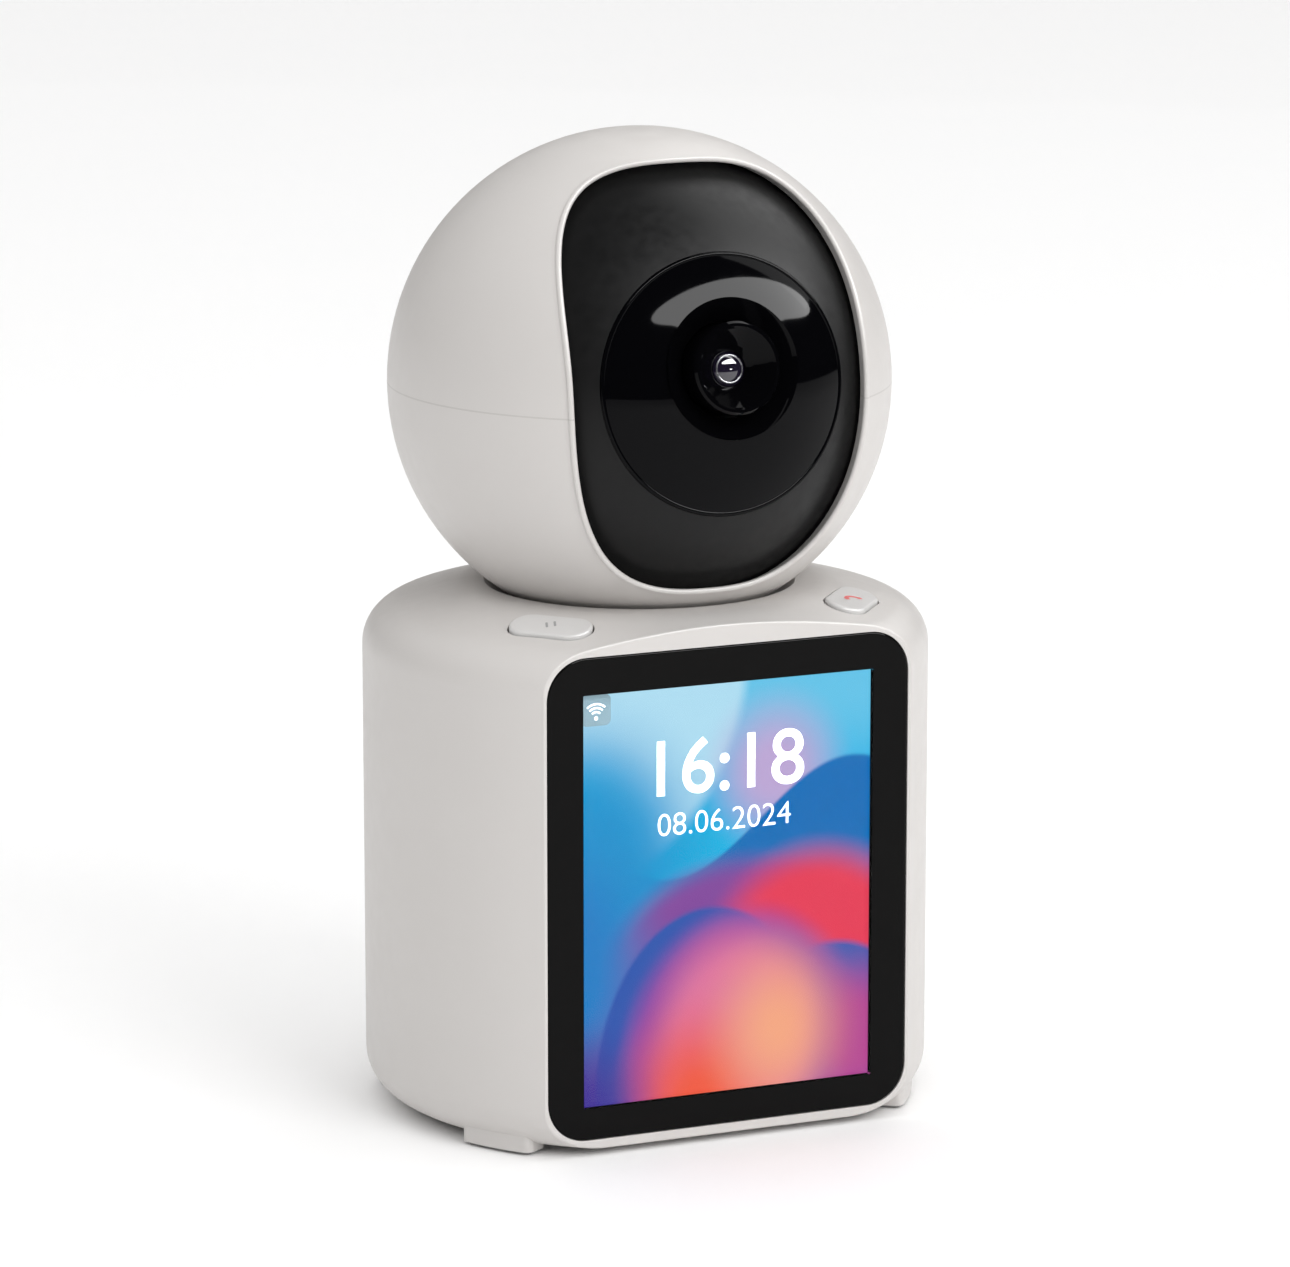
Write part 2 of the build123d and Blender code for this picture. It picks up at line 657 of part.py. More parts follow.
with BuildPart() as main_board:
    with BuildSketch(Plane.XY.offset(BOARD_Z)):
        with Locations((0, BODY_Y + 3.5)):
            Rectangle(44, 48)
        with Locations((0, BODY_Y + 29.5)):
            Rectangle(29, 9)
        with Locations((26, CARD_Y)):
            Rectangle(19, 15)
        with Locations(*standoffs_at):
            Circle(SCREW_CLEAR_R, mode=Mode.SUBTRACT)
    extrude(amount=BOARD_T)
main_board.part.label = "main_board"
export_step(main_board.part, "parts/main_board.step")

with BuildPart() as board_screws:
    with Locations(*[(x, y, BOARD_TOP) for x, y in standoffs_at]):
        add(screw(1.6, 1.0, 0.8, 4.8))
board_screws.part.label = "board_screws"
export_step(board_screws.part, "parts/board_screws.step")

with BuildPart() as board_components:
    with BuildSketch(Plane.XY.offset(BOARD_TOP)):
        with Locations((11, BODY_Y - 3.5)):
            Rectangle(8, 9)
    extrude(amount=0.9)
    with BuildSketch(Plane.XY.offset(BOARD_TOP)):
        with Locations((0, BODY_Y - 18.7)):
            Rectangle(18, 3.4)
    extrude(amount=1.8)
    with BuildSketch(Plane.XY.offset(BOARD_TOP)):
        with Locations((9, BODY_Y + 8.5), (15, BODY_Y + 8.5)):
            RectangleRounded(4, 4, 0.6)
    extrude(amount=2)
    with BuildSketch(Plane.XY.offset(BOARD_TOP)):
        with Locations((-8, BODY_Y + 19.5), (-2, BODY_Y + 19.5)):
            Circle(2.2)
    extrude(amount=4.6)
    with BuildSketch(Plane.XY.offset(BOARD_TOP)):
        with Locations((0, BALL_Y)):
            RectangleRounded(7, 6, 0.4)
    extrude(amount=2.8)
    # The microphone sits behind its hole in the back.
    with BuildSketch(Plane.XY.offset(BOARD_TOP)):
        with Locations((MIC_X, BACK_Y - 7.6)):
            RectangleRounded(3.8, 3, 0.3)
    extrude(amount=1.1)
board_components.part.label = "board_components"
export_step(board_components.part, "parts/board_components.step")

with BuildPart() as shield_can:
    with BuildSketch(Plane.XY.offset(BOARD_TOP)):
        with Locations((-12.5, BODY_Y + 0.5)):
            RectangleRounded(14, 16, 1)
    extrude(amount=2.2)
    fillet(shield_can.edges().group_by(Axis.Z)[-1], 0.4)
    hollow = shield_can.faces().sort_by(Axis.Z)[0]
    offset(amount=-0.3, openings=hollow)
shield_can.part.label = "shield_can"
export_step(shield_can.part, "parts/shield_can.step")

with BuildPart() as usb_c_receptacle:
    with BuildSketch(front_plane(USB_TIP_Y)):
        with Locations((0, USB_Z)):
            SlotOverall(8.94, 3.2)
    extrude(amount=7.35)
    with BuildSketch(front_plane(USB_TIP_Y)):
        with Locations((0, USB_Z)):
            SlotOverall(8.34, 2.6)
    extrude(amount=6.2, mode=Mode.SUBTRACT)
    with BuildSketch(front_plane(USB_TIP_Y - 1)):
        with Locations((0, USB_Z)):
            Rectangle(6.7, 0.7)
    extrude(amount=5.4)
usb_c_receptacle.part.label = "usb_c_receptacle"
export_step(usb_c_receptacle.part, "parts/usb_c_receptacle.step")

with BuildPart() as card_socket:
    with BuildSketch(side_plane(CARD_TIP_X, CARD_Y, CARD_Z)):
        Rectangle(12.4, 1.6)
    extrude(amount=-14.2)
    with BuildSketch(side_plane(CARD_TIP_X, CARD_Y, CARD_Z)):
        Rectangle(11.4, 1.0)
    extrude(amount=-12.4, mode=Mode.SUBTRACT)
card_socket.part.label = "card_socket"
export_step(card_socket.part, "parts/card_socket.step")

with BuildPart() as wifi_antenna:
    with BuildSketch(side_plane(20.8, BODY_Y + 17.5, BOARD_TOP + 6)):
        RectangleRounded(15, 12, 0.8)
    extrude(amount=0.6)
    with BuildSketch(side_plane(20.8, BODY_Y + 17.5, BOARD_TOP + 6)):
        with Locations((-1, 1)):
            Rectangle(9, 0.8)
        with Locations((3.5, 0)):
            Rectangle(0.8, 8)
    extrude(amount=-0.1)
wifi_antenna.part.label = "wifi_antenna"
export_step(wifi_antenna.part, "parts/wifi_antenna.step")

with BuildPart() as reset_switch:
    with BuildSketch(Plane.XY.offset(BOARD_Z)):
        with Locations(RESET_AT):
            RectangleRounded(4, 3.6, 0.3)
    extrude(amount=-2)
    with BuildSketch(Plane.XY.offset(BOARD_Z - 2)):
        with Locations(RESET_AT):
            Circle(RESET_R + 0.06)
    extrude(amount=1.4, mode=Mode.SUBTRACT)
reset_switch.part.label = "reset_switch"
export_step(reset_switch.part, "parts/reset_switch.step")

with BuildPart() as reset_plunger:
    with BuildSketch(Plane.XY.offset(BOARD_Z - 2.8)):
        with Locations(RESET_AT):
            Circle(RESET_R)
    extrude(amount=1.8)
    chamfer(reset_plunger.edges().group_by(Axis.Z)[0], 0.2)
reset_plunger.part.label = "reset_plunger"
export_step(reset_plunger.part, "parts/reset_plunger.step")

# ---------------------------------------------------------------- speaker, fixed

with BuildPart() as speaker_frame:
    with BuildSketch(SPEAKER_SECTION):
        with BuildLine():
            Polyline((14.1, -0.8), (14.1, -2.0), (9.4, -5.8), (9.4, -7.0), (0, -7.0))
            Polyline((0, -7.0), (0, -6.0), (8.6, -6.0), (12.2, -2.4), (12.2, -0.8), (14.1, -0.8))
        make_face()
    revolve(axis=SPEAKER_AXIS)
speaker_frame.part.label = "speaker_frame"
export_step(speaker_frame.part, "parts/speaker_frame.step")

with BuildPart() as speaker_magnet:
    with BuildSketch(front_plane(SPEAKER_Y - 6.5)):
        with Locations((0, SPEAKER_Z)):
            Circle(7.6)
    extrude(amount=3.4)
    chamfer(speaker_magnet.edges().group_by(Axis.Y)[0], 0.4)
speaker_magnet.part.label = "speaker_magnet"
export_step(speaker_magnet.part, "parts/speaker_magnet.step")

with BuildPart() as speaker_cone:
    with BuildSketch(SPEAKER_SECTION):
        with BuildLine():
            Polyline((12.1, -1.2), (11.0, -1.0), (10.2, -1.5), (4.0, -4.8), (0, -3.6))
            Polyline((0, -3.6), (0, -4.0), (4.0, -5.3), (10.4, -1.9), (11.0, -1.4), (12.1, -1.6))
            Line((12.1, -1.6), (12.1, -1.2))
        make_face()
    revolve(axis=SPEAKER_AXIS)
speaker_cone.part.label = "speaker_cone"
export_step(speaker_cone.part, "parts/speaker_cone.step")

with BuildPart() as speaker_cloth:
    with BuildSketch(front_plane(SPEAKER_Y)):
        with Locations((0, SPEAKER_Z)):
            Circle(14.0)
    extrude(amount=0.3)
speaker_cloth.part.label = "speaker_cloth"
export_step(speaker_cloth.part, "parts/speaker_cloth.step")

# ---------------------------------------------------------------- push buttons

slope_radial = Vector(BUTTON_X, BUTTON_Y - BODY_Y).length
button_skin_z = TOP_Z - (slope_radial - TOP_FLAT_R) * tan(radians(TOP_SLOPE))
for side, node in BUTTON_NODES:
    out_x = side * BUTTON_X / slope_radial
    out_y = (BUTTON_Y - BODY_Y) / slope_radial
    lean = sin(radians(TOP_SLOPE))
    normal = Vector(out_x * lean, out_y * lean, cos(radians(TOP_SLOPE)))
    top = Plane(origin=(side * BUTTON_X, BUTTON_Y, button_skin_z + BUTTON_PROUD), z_dir=normal)
    place = Location((side * BUTTON_X, BUTTON_Y), side * BUTTON_TURN)
    with BuildPart() as button:
        with BuildSketch(Plane.XY.offset(BUTTON_LOW_Z)):
            with Locations(place):
                SlotOverall(BUTTON_L, BUTTON_W)
        extrude(amount=8)
        split(bisect_by=top, keep=Keep.BOTTOM)
        fillet(button.faces().filter_by(top).edges(), 0.4)
        with BuildSketch(Plane.XY.offset(BUTTON_LOW_Z)):
            with Locations(place):
                SlotOverall(BUTTON_L + 2 * BUTTON_FLANGE, BUTTON_W + 2 * BUTTON_FLANGE)
        extrude(amount=BUTTON_FLANGE_T)
    button.part.label = node
    export_step(button.part, f"parts/{node}.step")

with BuildPart() as keypad_board:
    with BuildSketch(Plane.XY.offset(KEYPAD_TOP_Z)):
        with Locations((0, BUTTON_Y + 0.5)):
            RectangleRounded(53, 8, 1.5)
        with Locations(*keypad_posts_at):
            Circle(0.8, mode=Mode.SUBTRACT)
    extrude(amount=-1.0)
keypad_board.part.label = "keypad_board"
export_step(keypad_board.part, "parts/keypad_board.step")

with BuildPart() as keypad_screws:
    with Locations(*[Location((x, y, KEYPAD_TOP_Z - 1), (180, 0, 0)) for x, y in keypad_posts_at]):
        add(screw(1.4, 0.8, SMALL_THREAD_R, 4.0))
keypad_screws.part.label = "keypad_screws"
export_step(keypad_screws.part, "parts/keypad_screws.step")

with BuildPart() as button_switches:
    with BuildSketch(Plane.XY.offset(KEYPAD_TOP_Z)):
        with Locations(*[(side * BUTTON_X, BUTTON_Y) for side in button_sides]):
            RectangleRounded(6, 6, 0.5)
    extrude(amount=SWITCH_H)
    with BuildSketch(Plane.XY.offset(KEYPAD_TOP_Z + SWITCH_H)):
        with Locations(*[(side * BUTTON_X, BUTTON_Y) for side in button_sides]):
            Circle(1.75)
    extrude(amount=BUTTON_LOW_Z - 0.4 - KEYPAD_TOP_Z - SWITCH_H)
button_switches.part.label = "button_switches"
export_step(button_switches.part, "parts/button_switches.step")

# ---------------------------------------------------------------- pan drive, fixed part

with BuildPart() as neck_bush:
    with BuildSketch(BALL_SECTION):
        with BuildLine():
            Polyline(
                (NECK_R + RUNNING_FIT, SLEEVE_LOW_Z),
                (BUSH_R, SLEEVE_LOW_Z),
                (BUSH_R, BUSH_STEP_Z),
                (BUSH_FLANGE_R, BUSH_STEP_Z),
                (BUSH_FLANGE_R, BUSH_TOP_Z),
                (NECK_R + RUNNING_FIT, BUSH_TOP_Z),
                (NECK_R + RUNNING_FIT, SLEEVE_LOW_Z),
            )
        make_face()
    revolve(axis=BALL_AXIS)
neck_bush.part.label = "neck_bush"
export_step(neck_bush.part, "parts/neck_bush.step")

with BuildPart() as neck_washer:
    with BuildSketch(Plane.XY.offset(BUSH_TOP_Z)):
        with Locations((0, BALL_Y)):
            Circle(WASHER_R)
            Circle(NECK_R + RUNNING_FIT, mode=Mode.SUBTRACT)
    extrude(amount=WASHER_T)
neck_washer.part.label = "neck_washer"
export_step(neck_washer.part, "parts/neck_washer.step")

with BuildPart() as motor_bracket:
    with BuildSketch(Plane.XY.offset(BRACKET_TOP_Z - BRACKET_T)):
        with BuildLine():
            left_side = [(-24, -17.5), (-34, -11.5), (-34, 11.5), (-14, 28.5)]
            right_side = [(-6, 28.5), (-6, 19.5), (-11, 12.5), (-11, -17.5)]
            Polyline(*[(x, BALL_Y + y) for x, y in left_side + right_side], close=True)
        make_face()
        with Locations(pan_motor_at):
            Circle(4.7, mode=Mode.SUBTRACT)
        with Locations(*motor_ears_at, *bracket_bosses_at):
            Circle(1.05, mode=Mode.SUBTRACT)
    extrude(amount=BRACKET_T)
motor_bracket.part.label = "motor_bracket"
export_step(motor_bracket.part, "parts/motor_bracket.step")

with BuildPart() as bracket_screws:
    bracket_low = BRACKET_TOP_Z - BRACKET_T
    with Locations(*[Location((x, y, bracket_low), (180, 0, 0)) for x, y in bracket_bosses_at]):
        add(screw(1.8, 1.1, LARGE_THREAD_R, 6.5))
bracket_screws.part.label = "bracket_screws"
export_step(bracket_screws.part, "parts/bracket_screws.step")

with BuildPart() as pan_motor:
    with BuildSketch(Plane.XY.offset(MOTOR_EAR_Z)):
        with Locations(pan_motor_at):
            Circle(PAN_MOTOR_R)
    extrude(amount=-PAN_MOTOR_H)
    fillet(pan_motor.edges().group_by(Axis.Z)[0], 0.8)
    with BuildSketch(Plane.XY.offset(MOTOR_EAR_Z)):
        with Locations(pan_motor_at):
            Circle(PAN_MOTOR_R)
            SlotOverall(38, 7, rotation=90)
        with Locations(*motor_ears_at):
            Circle(SCREW_CLEAR_R, mode=Mode.SUBTRACT)
    extrude(amount=MOTOR_EAR_T)
    with BuildSketch(Plane.XY.offset(MOTOR_EAR_Z + MOTOR_EAR_T)):
        with Locations(pan_motor_at):
            Circle(4.5)
    extrude(amount=1.3)
    with BuildSketch(Plane.XY.offset(MOTOR_EAR_Z + MOTOR_EAR_T + 1.3)):
        with Locations(pan_motor_at):
            Circle(PAN_SHAFT_R + 0.05)
    extrude(amount=-6, mode=Mode.SUBTRACT)
pan_motor.part.label = "pan_motor"
export_step(pan_motor.part, "parts/pan_motor.step")

with BuildPart() as motor_screws:
    with Locations(*[(x, y, BRACKET_TOP_Z) for x, y in motor_ears_at]):
        add(screw(1.7, 1.0, 1.0, 3.4))
motor_screws.part.label = "motor_screws"
export_step(motor_screws.part, "parts/motor_screws.step")

with BuildPart() as pan_pinion:
    with BuildSketch(Plane.XY.offset(PAN_GEAR_LOW_Z)):
        with Locations(pan_motor_at):
            Polygon(*gear_outline(PAN_PINION_TEETH, PAN_MODULE, 15), align=None)
    extrude(amount=PAN_GEAR_T)
    with BuildSketch(Plane.XY.offset(PAN_SHAFT_LOW_Z)):
        with Locations(pan_motor_at):
            Circle(PAN_SHAFT_R)
    extrude(amount=PAN_GEAR_LOW_Z + PAN_GEAR_T + 0.6 - PAN_SHAFT_LOW_Z)
pan_pinion.part.label = "pan_pinion"
export_step(pan_pinion.part, "parts/pan_pinion.step")

# ---------------------------------------------------------------- ball head, pans

with BuildPart() as pan_gear:
    with BuildSketch(Plane.XY.offset(PAN_GEAR_LOW_Z)):
        with Locations((0, BALL_Y)):
            Polygon(*gear_outline(PAN_TEETH, PAN_MODULE), align=None)
            Circle(NECK_R + 0.05, mode=Mode.SUBTRACT)
    extrude(amount=PAN_GEAR_T)
    with BuildSketch(Plane.XY.offset(NECK_END_Z)):
        with Locations((0, BALL_Y)):
            Circle(NECK_FLANGE_R)
            Circle(NECK_BORE_R, mode=Mode.SUBTRACT)
            with PolarLocations(NECK_SCREW_R, 3, 90):
                Circle(0.65, mode=Mode.SUBTRACT)
    extrude(amount=-NECK_FLANGE_T)
    with BuildSketch(Plane.XY.offset(NECK_END_Z)):
        with Locations((0, BALL_Y)):
            Circle(NECK_FLANGE_R)
            Circle(NECK_R + 0.05, mode=Mode.SUBTRACT)
    extrude(amount=0.6)
pan_gear.part.label = "pan_gear"
export_step(pan_gear.part, "parts/pan_gear.step")

with BuildPart() as pan_gear_screws:
    with Locations(Location((0, BALL_Y, NECK_END_Z - NECK_FLANGE_T), (180, 0, 0))):
        with PolarLocations(NECK_SCREW_R, 3, -90):
            add(screw(1.1, 0.6, 0.6, 4.0))
pan_gear_screws.part.label = "pan_gear_screws"
export_step(pan_gear_screws.part, "parts/pan_gear_screws.step")

with BuildPart() as ball_skin:
    with Locations(BALL):
        Sphere(BALL_R)
        Sphere(BALL_R - BALL_WALL, mode=Mode.SUBTRACT)
    # Round saddles for the tilt bushes, one at each side.
    for side in (-1, 1):
        with BuildSketch(side_plane(side * SADDLE_X)):
            Circle(SADDLE_R)
        extrude(amount=side * 4.4)
        with BuildSketch(side_plane(side * SADDLE_X)):
            Circle(SADDLE_BORE_R)
        extrude(amount=side * SADDLE_DEPTH, mode=Mode.SUBTRACT)

with BuildPart() as slot_cutter:
    with BuildSketch(aimed_plane(SLOT_LIFT)):
        with BuildLine():
            Spline(*slot_outline(), periodic=True)
        make_face()
    extrude(amount=40)

with BuildPart() as head_screw_posts:
    for side in (-1, 1):
        with BuildSketch(Plane.XY.offset(BALL_Z - HEAD_POST_DROP)):
            with Locations((side * HEAD_SCREW_X, BALL_Y + HEAD_SCREW_Y)):
                Circle(HEAD_POST_R)
        extrude(amount=HEAD_POST_DROP + HEAD_POST_RISE)
        with BuildSketch(Plane.XY.offset(BALL_Z - HEAD_POST_RISE)):
            with Locations((side * HEAD_SCREW_X, BALL_Y + HEAD_SCREW_Y + 4)):
                Rectangle(1.6, 7)
        extrude(amount=2 * HEAD_POST_RISE)
    with Locations(BALL):
        Sphere(BALL_R - 0.8, mode=Mode.INTERSECT)

with BuildPart() as head_upper_shell:
    add(ball_skin.part)
    add(head_screw_posts.part)
    add(slot_cutter.part, mode=Mode.SUBTRACT)
    split(bisect_by=Plane.XY.offset(BALL_Z), keep=Keep.TOP)
    with BuildSketch(Plane.XY.offset(BALL_Z)):
        with Locations(*head_screws_at):
            Circle(LARGE_THREAD_R)
    extrude(amount=5.5, mode=Mode.SUBTRACT)
head_upper_shell.part.label = "head_upper_shell"
export_step(head_upper_shell.part, "parts/head_upper_shell.step")

with BuildPart() as head_lower_shell:
    add(ball_skin.part)
    add(head_screw_posts.part)
    add(slot_cutter.part, mode=Mode.SUBTRACT)
    split(bisect_by=Plane.XY.offset(BALL_Z), keep=Keep.BOTTOM)
    # Neck, moulded with the shell.
    with BuildSketch(Plane.XY.offset(NECK_END_Z)):
        with Locations((0, BALL_Y)):
            Circle(NECK_R)
    extrude(amount=NECK_ROOT_Z - NECK_END_Z)
    with BuildSketch(Plane.XY.offset(BUSH_TOP_Z + WASHER_T)):
        with Locations((0, BALL_Y)):
            Circle(WASHER_R)
    extrude(amount=1.6)
    with BuildSketch(Plane.XY.offset(NECK_END_Z)):
        with Locations((0, BALL_Y)):
            Circle(NECK_BORE_R)
    extrude(amount=14, mode=Mode.SUBTRACT)
    with BuildSketch(Plane.XY.offset(NECK_END_Z)):
        with Locations((0, BALL_Y)):
            with PolarLocations(NECK_SCREW_R, 3, 90):
                Circle(0.6)
    extrude(amount=3.4, mode=Mode.SUBTRACT)
    # Deep counterbores for the head screws.
    with BuildSketch(Plane.XY.offset(BALL_Z - HEAD_JOINT_T)):
        with Locations(*head_screws_at):
            Circle(1.9)
    extrude(amount=-26, mode=Mode.SUBTRACT)
    with BuildSketch(Plane.XY.offset(BALL_Z - HEAD_JOINT_T)):
        with Locations(*head_screws_at):
            Circle(SCREW_CLEAR_R)
    extrude(amount=HEAD_JOINT_T, mode=Mode.SUBTRACT)
head_lower_shell.part.label = "head_lower_shell"
export_step(head_lower_shell.part, "parts/head_lower_shell.step")

with BuildPart() as head_screws:
    joint_z = BALL_Z - HEAD_JOINT_T
    with Locations(*[Location((x, y, joint_z), (180, 0, 0)) for x, y in head_screws_at]):
        add(screw(1.7, 1.2, LARGE_THREAD_R, 10.5))
head_screws.part.label = "head_screws"
export_step(head_screws.part, "parts/head_screws.step")

with BuildPart() as tilt_bushes:
    for side in (-1, 1):
        with BuildSketch(side_plane(side * SADDLE_X)):
            Circle(SADDLE_BORE_R - 0.02)
            Circle(PIN_R + RUNNING_FIT, mode=Mode.SUBTRACT)
        extrude(amount=side * (SADDLE_DEPTH - 0.1))
tilt_bushes.part.label = "tilt_bushes"
export_step(tilt_bushes.part, "parts/tilt_bushes.step")

with BuildPart() as tilt_gear:
    with BuildSketch(side_plane(-SADDLE_X)):
        Polygon(*gear_outline(TILT_TEETH, TILT_MODULE, TILT_MOTOR_DROP), align=None)
        Circle(PIN_R + 0.4, mode=Mode.SUBTRACT)
    extrude(amount=TILT_GEAR_T)
tilt_gear.part.label = "tilt_gear"
export_step(tilt_gear.part, "parts/tilt_gear.step")

with BuildPart() as head_cable:
    with BuildSketch(Plane.XY.offset(CABLE_LOW_Z)):
        with Locations((0, BALL_Y)):
            Circle(CABLE_R)
    extrude(amount=CABLE_TOP_Z - CABLE_LOW_Z)
head_cable.part.label = "head_cable"
export_step(head_cable.part, "parts/head_cable.step")

with BuildPart() as cable_plug:
    with BuildSketch(Plane.XY.offset(PLUG_LOW_Z)):
        with Locations((0, BALL_Y)):
            RectangleRounded(6.2, 4.8, 0.5)
    extrude(amount=CABLE_LOW_Z - PLUG_LOW_Z)
cable_plug.part.label = "cable_plug"
export_step(cable_plug.part, "parts/cable_plug.step")

# ---------------------------------------------------------------- camera drum, tilts

with BuildPart() as face_shell:
    with BuildSketch(Plane(origin=BALL, x_dir=(1, 0, 0), z_dir=(0, 1, 0))):
        with BuildLine():
            inner_r = DRUM_R - DRUM_WALL
            inner_x = DRUM_HALF_W - DRUM_WALL
            outer_end = sqrt(DRUM_R**2 - DRUM_HALF_W**2)
            inner_end = sqrt(inner_r**2 - inner_x**2)
            ThreePointArc((-DRUM_HALF_W, outer_end), (0, DRUM_R), (DRUM_HALF_W, outer_end))
            Polyline(
                (DRUM_HALF_W, outer_end),
                (DRUM_HALF_W, DRUM_BACK),
                (inner_x, DRUM_BACK),
                (inner_x, inner_end),
            )
            ThreePointArc((inner_x, inner_end), (0, inner_r), (-inner_x, inner_end))
            Polyline(
                (-inner_x, inner_end),
                (-inner_x, DRUM_BACK),
                (-DRUM_HALF_W, DRUM_BACK),
                (-DRUM_HALF_W, outer_end),
            )
        make_face()
    revolve(axis=Axis(BALL, (-1, 0, 0)), revolution_arc=DRUM_HIGH - DRUM_LOW)
    # Round cheeks that carry the tilt pins.
    for side in (-1, 1):
        with BuildSketch(side_plane(side * (DRUM_HALF_W - DRUM_WALL))):
            Circle(outer_end - 0.04)
        extrude(amount=side * DRUM_WALL)
    # Ledge under the window, and posts for the camera board.
    with BuildSketch(aimed_plane(WINDOW_LIFT, WINDOW_LEDGE - 1.3)):
        Circle(19.5)
        Circle(16.2, mode=Mode.SUBTRACT)
    extrude(amount=1.3)
    with BuildSketch(aimed_plane(LENS_LIFT, CAMERA_BOARD_FRONT)):
        with Locations(*camera_posts_at):
            Circle(CAMERA_POST_R)
    extrude(amount=24.6 - CAMERA_BOARD_FRONT)
    # Window hole, pin holes, shaft hole and screw holes.
    with BuildSketch(aimed_plane(WINDOW_LIFT, WINDOW_LEDGE)):
        Circle(WINDOW_R + 0.05)
    extrude(amount=12, mode=Mode.SUBTRACT)
    with BuildSketch(side_plane(-DRUM_HALF_W)):
        Circle(PIN_R + 0.01)
    extrude(amount=2 * DRUM_HALF_W, mode=Mode.SUBTRACT)
    with BuildSketch(side_plane(-DRUM_HALF_W)):
        with Locations(tilt_motor_at):
            Circle(2.2)
        with Locations(*tilt_ears_at):
            Circle(SMALL_THREAD_R)
    extrude(amount=DRUM_WALL, mode=Mode.SUBTRACT)
    with BuildSketch(aimed_plane(LENS_LIFT, CAMERA_BOARD_FRONT)):
        with Locations(*camera_posts_at):
            Circle(SMALL_THREAD_R)
    extrude(amount=6, mode=Mode.SUBTRACT)
face_shell.part.label = "face_shell"
export_step(face_shell.part, "parts/face_shell.step")

with BuildPart() as tilt_pins:
    for side in (-1, 1):
        with BuildSketch(side_plane(side * (DRUM_HALF_W - DRUM_WALL))):
            Circle(PIN_R)
        extrude(amount=side * PIN_L)
    pin_ends = tilt_pins.edges().group_by(Axis.X)
    chamfer(pin_ends[0] + pin_ends[-1], 0.3)
tilt_pins.part.label = "tilt_pins"
export_step(tilt_pins.part, "parts/tilt_pins.step")

with BuildPart() as window_disc:
    with Locations(BALL):
        Sphere(DRUM_R - 0.05)
        Sphere(DRUM_R - 0.05 - WINDOW_T, mode=Mode.SUBTRACT)
    with BuildSketch(aimed_plane(WINDOW_LIFT, WINDOW_LEDGE)):
        Circle(WINDOW_R)
    extrude(amount=12, mode=Mode.INTERSECT)
    with BuildSketch(aimed_plane(LENS_LIFT, 20)):
        Circle(HOOD_R)
    extrude(amount=16, mode=Mode.SUBTRACT)
window_disc.part.label = "window_disc"
export_step(window_disc.part, "parts/window_disc.step")

with BuildPart() as lens_hood:
    with BuildSketch(LENS_SECTION):
        with BuildLine():
            Polyline(
                (HOOD_R - 0.05, HOOD_FRONT),
                (BARREL_R + 0.25, 29.4),
                (BARREL_R + 0.25, 28.2),
                (HOOD_R - 0.05, 30.2),
                (HOOD_R - 0.05, HOOD_FRONT),
            )
        make_face()
    revolve(axis=LENS_AXIS)
lens_hood.part.label = "lens_hood"
export_step(lens_hood.part, "parts/lens_hood.step")

with BuildPart() as lens_barrel:
    with BuildSketch(LENS_SECTION):
        with BuildLine():
            Polyline(
                (GLASS_R + 0.05, BARREL_BACK),
                (GLASS_R + 0.05, 30.6),
                (3.2, 31.4),
                (BARREL_R - 1.0, BARREL_TIP - 0.3),
                (BARREL_R - 0.7, BARREL_TIP),
                (BARREL_R - 0.3, BARREL_TIP),
                (BARREL_R, BARREL_TIP - 0.4),
                (BARREL_R, BARREL_BACK),
                (GLASS_R + 0.05, BARREL_BACK),
            )
        make_face()
    revolve(axis=LENS_AXIS)
lens_barrel.part.label = "lens_barrel"
export_step(lens_barrel.part, "parts/lens_barrel.step")

with BuildPart() as lens_elements:
    with BuildSketch(LENS_SECTION):
        with BuildLine():
            Polyline((0, 28.4), (GLASS_R, 28.4), (GLASS_R, GLASS_RIM))
            half_way = lens_cap_point(GLASS_TIP, GLASS_RIM - GLASS_TIP)
            ThreePointArc((GLASS_R, GLASS_RIM), half_way, (0, GLASS_TIP))
            Line((0, GLASS_TIP), (0, 28.4))
        make_face()
        with BuildLine():
            ThreePointArc((0, 21.2), lens_cap_point(21.2, 1.0), (GLASS_R, 22.2))
            Polyline((GLASS_R, 22.2), (GLASS_R, 24.0), (0, 24.0), (0, 21.2))
        make_face()
    revolve(axis=LENS_AXIS)
lens_elements.part.label = "lens_elements"
export_step(lens_elements.part, "parts/lens_elements.step")

with BuildPart() as lens_holder:
    with BuildSketch(aimed_plane(LENS_LIFT, CAMERA_BOARD_FRONT)):
        RectangleRounded(HOLDER_W, HOLDER_W, 1)
        RectangleRounded(11, 11, 0.5, mode=Mode.SUBTRACT)
    extrude(amount=HOLDER_BASE_H)
    with BuildSketch(aimed_plane(LENS_LIFT, CAMERA_BOARD_FRONT + HOLDER_BASE_H)):
        RectangleRounded(HOLDER_W, HOLDER_W, 1)
        Circle(GLASS_R + 0.6, mode=Mode.SUBTRACT)
    extrude(amount=BARREL_BACK - CAMERA_BOARD_FRONT - HOLDER_BASE_H)
    with BuildSketch(aimed_plane(LENS_LIFT, BARREL_BACK)):
        Circle(8)
        Circle(BARREL_R + 0.02, mode=Mode.SUBTRACT)
    extrude(amount=3.2)
lens_holder.part.label = "lens_holder"
export_step(lens_holder.part, "parts/lens_holder.step")

with BuildPart() as image_sensor:
    with BuildSketch(aimed_plane(LENS_LIFT, CAMERA_BOARD_FRONT)):
        RectangleRounded(8, 7, 0.2)
    extrude(amount=1.1)
image_sensor.part.label = "image_sensor"
export_step(image_sensor.part, "parts/image_sensor.step")

